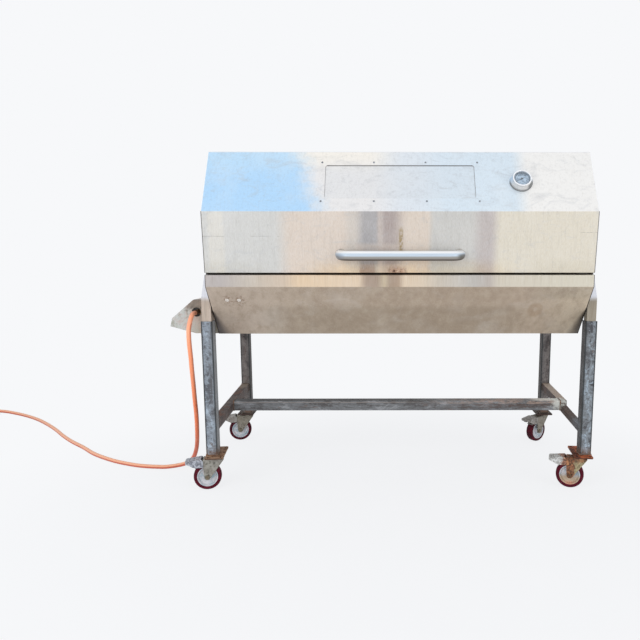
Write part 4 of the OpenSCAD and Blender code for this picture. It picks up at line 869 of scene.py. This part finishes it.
dress(leg_steel("rear_leg_scale", (110, 104, 102), (128, 122, 120), (66, 60, 60), (90, 66, 54), 0.06),
      "leg_rear_left", "leg_rear_right")
dress(rail_steel(), "side_rail_left", "side_rail_right")
dress(stretcher_steel(), "stretcher_bar")
dress(plate_steel(), "caster_plates")
dress(soft_metal("burner_scale", (96, 84, 76), (66, 58, 54), 0.7, 0.3, 40), "burner_front", "burner_rear")
dress(soft_metal("gas_brass", (190, 152, 92), (150, 112, 66), 0.35, 0.85), "gas_manifold", "gas_valve")
dress(soft_metal("ferrule_brass", (104, 72, 46), (44, 30, 21), 0.6, 0.25), "hose_ferrules")
dress(soft_metal("regulator_alloy", (178, 180, 182), (140, 142, 146), 0.45, 0.6), "regulator")
dress(bezel_steel(), "thermometer_case")
dress(dial_paint(), "thermometer_dial")
dress(black_moulding(), "valve_knob", "regulator_handwheel", "thermometer_needle")
dress(clear_glass(), "thermometer_glass")
dress(tyre_rubber(), *("tyre_" + c for c in CASTERS))
for corner in CASTERS:
    rusty = corner == "front_right"
    front = corner.startswith("front")
    fork_tones = ((132, 128, 120), (156, 154, 146), (92, 90, 82))
    pedal_tones = ((164, 168, 176), (190, 194, 204), (96, 98, 108))
    if rusty:
        fork_tones = ((148, 138, 108), (172, 160, 126), (104, 92, 66))
        pedal_tones = ((198, 198, 195), (220, 222, 222), (142, 140, 137))
    if not front:
        fork_tones = ((124, 118, 106), (142, 136, 126), (84, 80, 72))
        pedal_tones = ((134, 128, 122), (154, 150, 146), (92, 88, 82))
    dress(zinc("fork_zinc_" + corner, *fork_tones, 0.06 if rusty else 0.0, (142, 84, 56),
               pedal_side_rust if rusty else None), "fork_" + corner)
    dress(zinc("pedal_zinc_" + corner, *pedal_tones, 0.0, (158, 98, 66),
               fork_end_rust if rusty else None, 0.05 if front else 0.0), "pedal_" + corner)
    dress(zinc("axle_zinc_" + corner, (112, 104, 88), (140, 132, 112), (74, 66, 54),
               0.4 if rusty else 0.08, (112, 70, 40)), "axle_" + corner)
    dress(wheel_paint("wheel_paint_" + corner, rusty), "wheel_" + corner)
hose.data.materials.append(hose_rubber())


# Welds, screw slots and the dial's marks


def weld_steel():
    """Weld metal: grey scale tinted brown, rusting between its ripples."""
    g = Graph("weld_steel")
    tint = g.noise(40, 4, 0.65)
    grit = g.noise(320, 4, 0.7)
    brown = g.mix(g.step(g.axis("Y"), 0.4, 0.5), srgb(146, 104, 74), srgb(92, 80, 72))
    colour = g.mix(g.step(tint, 0.38, 0.62), srgb(118, 106, 98), brown)
    colour = g.mix(g.times(g.step(grit, 0.48, 0.66), 0.6), colour, srgb(64, 54, 50))
    return g.shade(colour, g.math("ADD", 0.42, g.times(tint, 0.3)), 0.4, g.bump(grit, 0.0003, 0.6))


def marking(name, tone, dusty):
    g = Graph(name)
    fade = g.noise(260, 3, 0.6)
    colour = g.mix(g.times(g.step(fade, 0.5, 0.72), 0.5), srgb(*tone), srgb(*dusty))
    return g.shade(colour, 0.55, 0.0, g.bump(fade, 0.00003, 0.3))


def add_piece(name, shape, body, material):
    """A new piece made of a bmesh's faces, moving with a body."""
    bmesh.ops.recalc_face_normals(shape, faces=shape.faces)
    data = bpy.data.meshes.new(name)
    shape.to_mesh(data)
    shape.free()
    data.materials.append(material)
    piece = bpy.data.objects.new(name, data)
    bpy.context.collection.objects.link(piece)
    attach(piece, body)
    for face in data.polygons:
        face.use_smooth = len(face.vertices) == 4
    return piece


def rounded_loop(centre, across, up, half_w, half_h, corner):
    """Points round a rectangle with rounded corners, in the plane of two directions."""
    points = []
    for k, (sx, sy) in enumerate(((1, 1), (-1, 1), (-1, -1), (1, -1))):
        for i in range(5):
            turn = math.radians(90 * k + 22.5 * i)
            px = sx * (half_w - corner) + corner * math.cos(turn)
            py = sy * (half_h - corner) + corner * math.sin(turn)
            points.append(centre + across * px + up * py)
    return points


def evenly(points, gap):
    """Points spaced evenly along a closed line."""
    line = points + [points[0]]
    spaced, carried = [], 0.0
    for a, b in zip(line, line[1:]):
        run = (b - a).length
        at = carried
        while at < run:
            spaced.append(a.lerp(b, at / run))
            at += gap
        carried = at - run
    return spaced


BEAD_SIDES = 8
RIPPLE = 0.0044


def add_bead(shape, points, normal, radius):
    """A closed weld bead, rippled as the pool froze, with a slightly uneven width."""
    line = evenly(points, RIPPLE / 4)
    count = len(line)
    rings = []
    for i, here in enumerate(line):
        ahead = (line[(i + 1) % count] - line[i - 1]).normalized()
        side = ahead.cross(normal).normalized()
        uneven = noise.noise(here * 120) * 0.22 + noise.noise(here * 35) * 0.15
        wave = 0.10 * math.cos(2 * math.pi * i / 4)
        r = radius * (1 + uneven + wave)
        ring = []
        for k in range(BEAD_SIDES):
            turn = 2 * math.pi * k / BEAD_SIDES
            ring.append(shape.verts.new(here + (side * math.cos(turn) + normal * math.sin(turn)) * r))
        rings.append(ring)
    for a, b in zip(rings, rings[1:] + rings[:1]):
        for k in range(BEAD_SIDES):
            n = (k + 1) % BEAD_SIDES
            shape.faces.new((a[k], a[n], b[n], b[k]))


def add_trolley_welds():
    """Beads round the legs' feet and where the rails and the stretcher meet their neighbours."""
    shape = bmesh.new()
    x, y, z = Vector((1, 0, 0)), Vector((0, 1, 0)), Vector((0, 0, 1))
    for side in (-1, 1):
        for depth in (LEG_FRONT_Y, LEG_REAR_Y):
            middle = Vector((side * LEG_X, depth, 0.1695)) - MID
            add_bead(shape, rounded_loop(middle, x, y, 0.0258, 0.0258, 0.003), z, 0.0032)
    # place, width and height of each rail's end, on the faces that it meets
    ends = (
        (-0.8550, 0.1350, 0.2860, 0.0200, 0.0200), (-0.8550, 0.8100, 0.3220, 0.0200, 0.0200),
        (0.8500, 0.1350, 0.2690, 0.0152, 0.0152), (0.8550, 0.8100, 0.3220, 0.0200, 0.0200),
        (0.8500, 0.4715, 0.2950, 0.0152, 0.0152),
    )
    for across, depth, height, half_w, half_h in ends:
        middle = Vector((across, depth, height)) - MID
        add_bead(shape, rounded_loop(middle, x, z, half_w, half_h, 0.003), y, 0.0028)
    for side in (-1, 1):
        middle = Vector((side * 0.8342, 0.4725, STRETCHER_Z)) - MID
        add_bead(shape, rounded_loop(middle, y, z, 0.0256, 0.0256, 0.003), x, 0.0028)
    add_piece("trolley_welds", shape, "trolley", weld_steel())


def on_hood(points_mm, frame_turn, origin):
    """Points of a frame on the hood, in millimetres, in the row frame."""
    turn = Matrix.Translation(origin) @ Matrix.Rotation(frame_turn, 4, "X")
    return [turn @ (Vector(p) / 1000) for p in points_mm]


SLOPE_FRAME = (SLOPE_ANGLE, place(0, -22, 1250))


def add_plate(shape, outline, low, high, frame):
    """A thin plate of a flat outline, between two heights of a hood frame."""
    top = [shape.verts.new(p) for p in on_hood([(u, v, high) for u, v in outline], *frame)]
    under = [shape.verts.new(p) for p in on_hood([(u, v, low) for u, v in outline], *frame)]
    shape.faces.new(top)
    shape.faces.new(under[::-1])
    count = len(outline)
    for i in range(count):
        n = (i + 1) % count
        shape.faces.new((top[i], under[i], under[n], top[n]))


SCREW_PLACES = [(x, up) for up in (49, 245) for x in (-331, -110.3, 110.3, 331)]
SCREW_DOME = (5.58, -2.61)


def add_screw_slots():
    """Cross slots in the domed heads of the window's screws."""
    shape = bmesh.new()
    radius, middle = SCREW_DOME
    reach, half = 2.3, 0.5
    for n, (x, up) in enumerate(SCREW_PLACES):
        for arm in (0, 1):
            turn = math.radians(17 + 41 * n + 90 * arm)
            across, along_bar = (math.cos(turn), math.sin(turn)), (-math.sin(turn), math.cos(turn))
            stations = [-reach + reach * k / 4 for k in range(9)]
            rows = []
            for at in stations:
                high = middle + math.sqrt(radius ** 2 - at ** 2) + 0.05
                row = []
                for side, height in ((-half, high), (half, high), (half, high - 0.4), (-half, high - 0.4)):
                    row.append((
                        x + along_bar[0] * at + across[0] * side,
                        up + along_bar[1] * at + across[1] * side, height,
                    ))
                rows.append([shape.verts.new(p) for p in on_hood(row, *SLOPE_FRAME)])
            for a, b in zip(rows, rows[1:]):
                for k in range(4):
                    shape.faces.new((a[k], a[(k + 1) % 4], b[(k + 1) % 4], b[k]))
            shape.faces.new(rows[0][::-1])
            shape.faces.new(rows[-1])
    add_piece("screw_slots", shape, "hood", marking("slot_shadow", (38, 36, 35), (70, 66, 62)))


DIAL_FACE = 21.5
DIAL_START, DIAL_SWEEP = 210, 240


def dial_point(turn, radius):
    """A point of the dial's face at a share of its scale, in millimetres."""
    angle = math.radians(DIAL_START - DIAL_SWEEP * turn)
    return DIAL_X * 1000 + radius * math.cos(angle), DIAL_UP * 1000 + radius * math.sin(angle)


def add_dial_marks():
    """Ticks and plain numbers of a 0 to 300 degree scale."""
    shape = bmesh.new()
    for k in range(31):
        long_one = k % 5 == 0
        inner, half = (26.5, 0.55) if long_one else (28.8, 0.3)
        (x0, y0), (x1, y1) = dial_point(k / 30, inner), dial_point(k / 30, 31.6)
        run = math.hypot(x1 - x0, y1 - y0)
        sx, sy = -(y1 - y0) / run * half, (x1 - x0) / run * half
        add_plate(
            shape, [(x0 - sx, y0 - sy), (x1 - sx, y1 - sy), (x1 + sx, y1 + sy), (x0 + sx, y0 + sy)],
            DIAL_FACE - 0.1, DIAL_FACE + 0.12, SLOPE_FRAME,
        )
    for k in range(7):
        add_number(shape, str(50 * k), dial_point(k / 6, 21.0), 5.4)
    print_paint = marking("dial_print", (36, 40, 46), (92, 100, 110))
    add_piece("dial_marks", shape, "hood", print_paint)


def add_number(shape, digits, middle, size):
    """A number cut as thin plates, upright on the dial."""
    curve = bpy.data.curves.new("digits", "FONT")
    curve.body = digits
    curve.size = size
    curve.align_x = "CENTER"
    curve.align_y = "CENTER"
    curve.resolution_u = 3
    holder = bpy.data.objects.new("digits", curve)
    bpy.context.collection.objects.link(holder)
    bpy.context.view_layer.update()
    flat = holder.evaluated_get(bpy.context.evaluated_depsgraph_get()).to_mesh()
    points = [(middle[0] + v.co.x, middle[1] + v.co.y, DIAL_FACE + 0.12) for v in flat.vertices]
    verts = [shape.verts.new(p) for p in on_hood(points, *SLOPE_FRAME)]
    for face in flat.polygons:
        shape.faces.new([verts[i] for i in face.vertices])
    bpy.data.objects.remove(holder)
    bpy.data.curves.remove(curve)


PANEL_FRAME = (math.pi / 2 + math.atan2(22, 254), place(0, 0, 996))


def add_handle_welds():
    """Fine beads where the handle's feet meet the front panel."""
    shape = bmesh.new()
    turn = Matrix.Rotation(PANEL_FRAME[0], 4, "X")
    normal = turn @ Vector((0, 0, 1))
    for side in (-1, 1):
        ring = []
        for k in range(48):
            angle = 2 * math.pi * k / 48
            ring.append((side * 249.5 + 21.4 * math.cos(angle), 78 + 21.4 * math.sin(angle), 0.4))
        add_bead(shape, on_hood(ring, *PANEL_FRAME), normal, 0.0015)
    add_piece("handle_welds", shape, "hood", soft_metal(
        "handle_weld_steel", (188, 184, 178), (142, 128, 112), 0.4, 0.6, 90))


add_trolley_welds()
add_screw_slots()
add_dial_marks()
add_handle_welds()

# Floor, backdrop and light

SHEET_WHITE = srgb(247, 248, 250)


def stage_material():
    """Pale floor that keeps the shadow softly and shows its own white to the camera."""
    g = Graph("stage_white")
    grain = g.noise(3, 2, 0.5)
    colour = g.mix(g.step(grain, 0.3, 0.7), srgb(238, 239, 241), srgb(240, 241, 243))
    shader = g.add("ShaderNodeBsdfDiffuse", {"Color": colour})
    paper = g.add("ShaderNodeEmission", {"Color": SHEET_WHITE, "Strength": 1.0})
    path = g.tree.nodes.new("ShaderNodeLightPath").outputs
    bounced = g.math("MAXIMUM", path["Is Glossy Ray"], path["Is Transmission Ray"])
    seen = g.math("MAXIMUM", path["Is Camera Ray"], bounced)
    # the shadow fades out into plain white away from the machine
    away = g.add("ShaderNodeVectorMath", {0: g.position()}, "Value", operation="LENGTH")
    far = g.step(away, *FLOOR_FADE)
    paper_share = g.math("ADD", FLOOR_PAPER, g.times(far, 1 - FLOOR_PAPER))
    share = g.times(seen, paper_share)
    both = g.add("ShaderNodeMixShader", {0: share, 1: shader, 2: paper})
    g.add("ShaderNodeOutputMaterial", {"Surface": both})
    return g.material


FLOOR_PAPER = 0.86
FLOOR_FADE = (0.9, 2.2)
FLOOR_REACH = 14


def add_floor():
    r = FLOOR_REACH
    data = bpy.data.meshes.new("floor")
    data.from_pydata([(-r, -r, 0), (r, -r, 0), (r, r, 0), (-r, r, 0)], [], [(0, 1, 2, 3)])
    data.materials.append(stage_material())
    floor = bpy.data.objects.new("floor", data)
    bpy.context.collection.objects.link(floor)


def add_world():
    world = bpy.data.worlds.new("studio")
    world.use_nodes = True
    tree = world.node_tree
    tree.nodes.clear()
    path = tree.nodes.new("ShaderNodeLightPath").outputs
    seen = tree.nodes.new("ShaderNodeMath")
    seen.operation = "MAXIMUM"
    tree.links.new(path["Is Camera Ray"], seen.inputs[0])
    tree.links.new(path["Is Glossy Ray"], seen.inputs[1])
    every = tree.nodes.new("ShaderNodeMath")
    every.operation = "MAXIMUM"
    tree.links.new(seen.outputs[0], every.inputs[0])
    tree.links.new(path["Is Transmission Ray"], every.inputs[1])
    fill = tree.nodes.new("ShaderNodeBackground")
    fill.inputs["Color"].default_value = (0.96, 0.98, 1.0, 1)
    fill.inputs["Strength"].default_value = WORLD_FILL
    shown = tree.nodes.new("ShaderNodeBackground")
    shown.inputs["Color"].default_value = (*SHEET_WHITE, 1)
    shown.inputs["Strength"].default_value = 1.0
    both = tree.nodes.new("ShaderNodeMixShader")
    tree.links.new(every.outputs[0], both.inputs[0])
    tree.links.new(fill.outputs[0], both.inputs[1])
    tree.links.new(shown.outputs[0], both.inputs[2])
    out = tree.nodes.new("ShaderNodeOutputWorld")
    tree.links.new(both.outputs[0], out.inputs[0])
    bpy.context.scene.world = world


WORLD_FILL = 0.60


def add_lamp(name, where, target, size, power):
    data = bpy.data.lights.new(name, "AREA")
    data.shape = "SQUARE"
    data.size = size
    data.energy = power
    lamp = bpy.data.objects.new(name, data)
    lamp.location = where
    lamp.rotation_euler = (Vector(target) - Vector(where)).to_track_quat("-Z", "Y").to_euler()
    lamp.visible_glossy = False
    bpy.context.collection.objects.link(lamp)


add_floor()
add_world()
add_lamp("key", (-2.6, -3.6, 2.1), (0, 0, 0.8), 3.0, 90)
add_lamp("fill", (3.2, -3.2, 1.6), (0, 0, 0.8), 3.0, 60)
bpy.context.scene.view_settings.view_transform = "Standard"
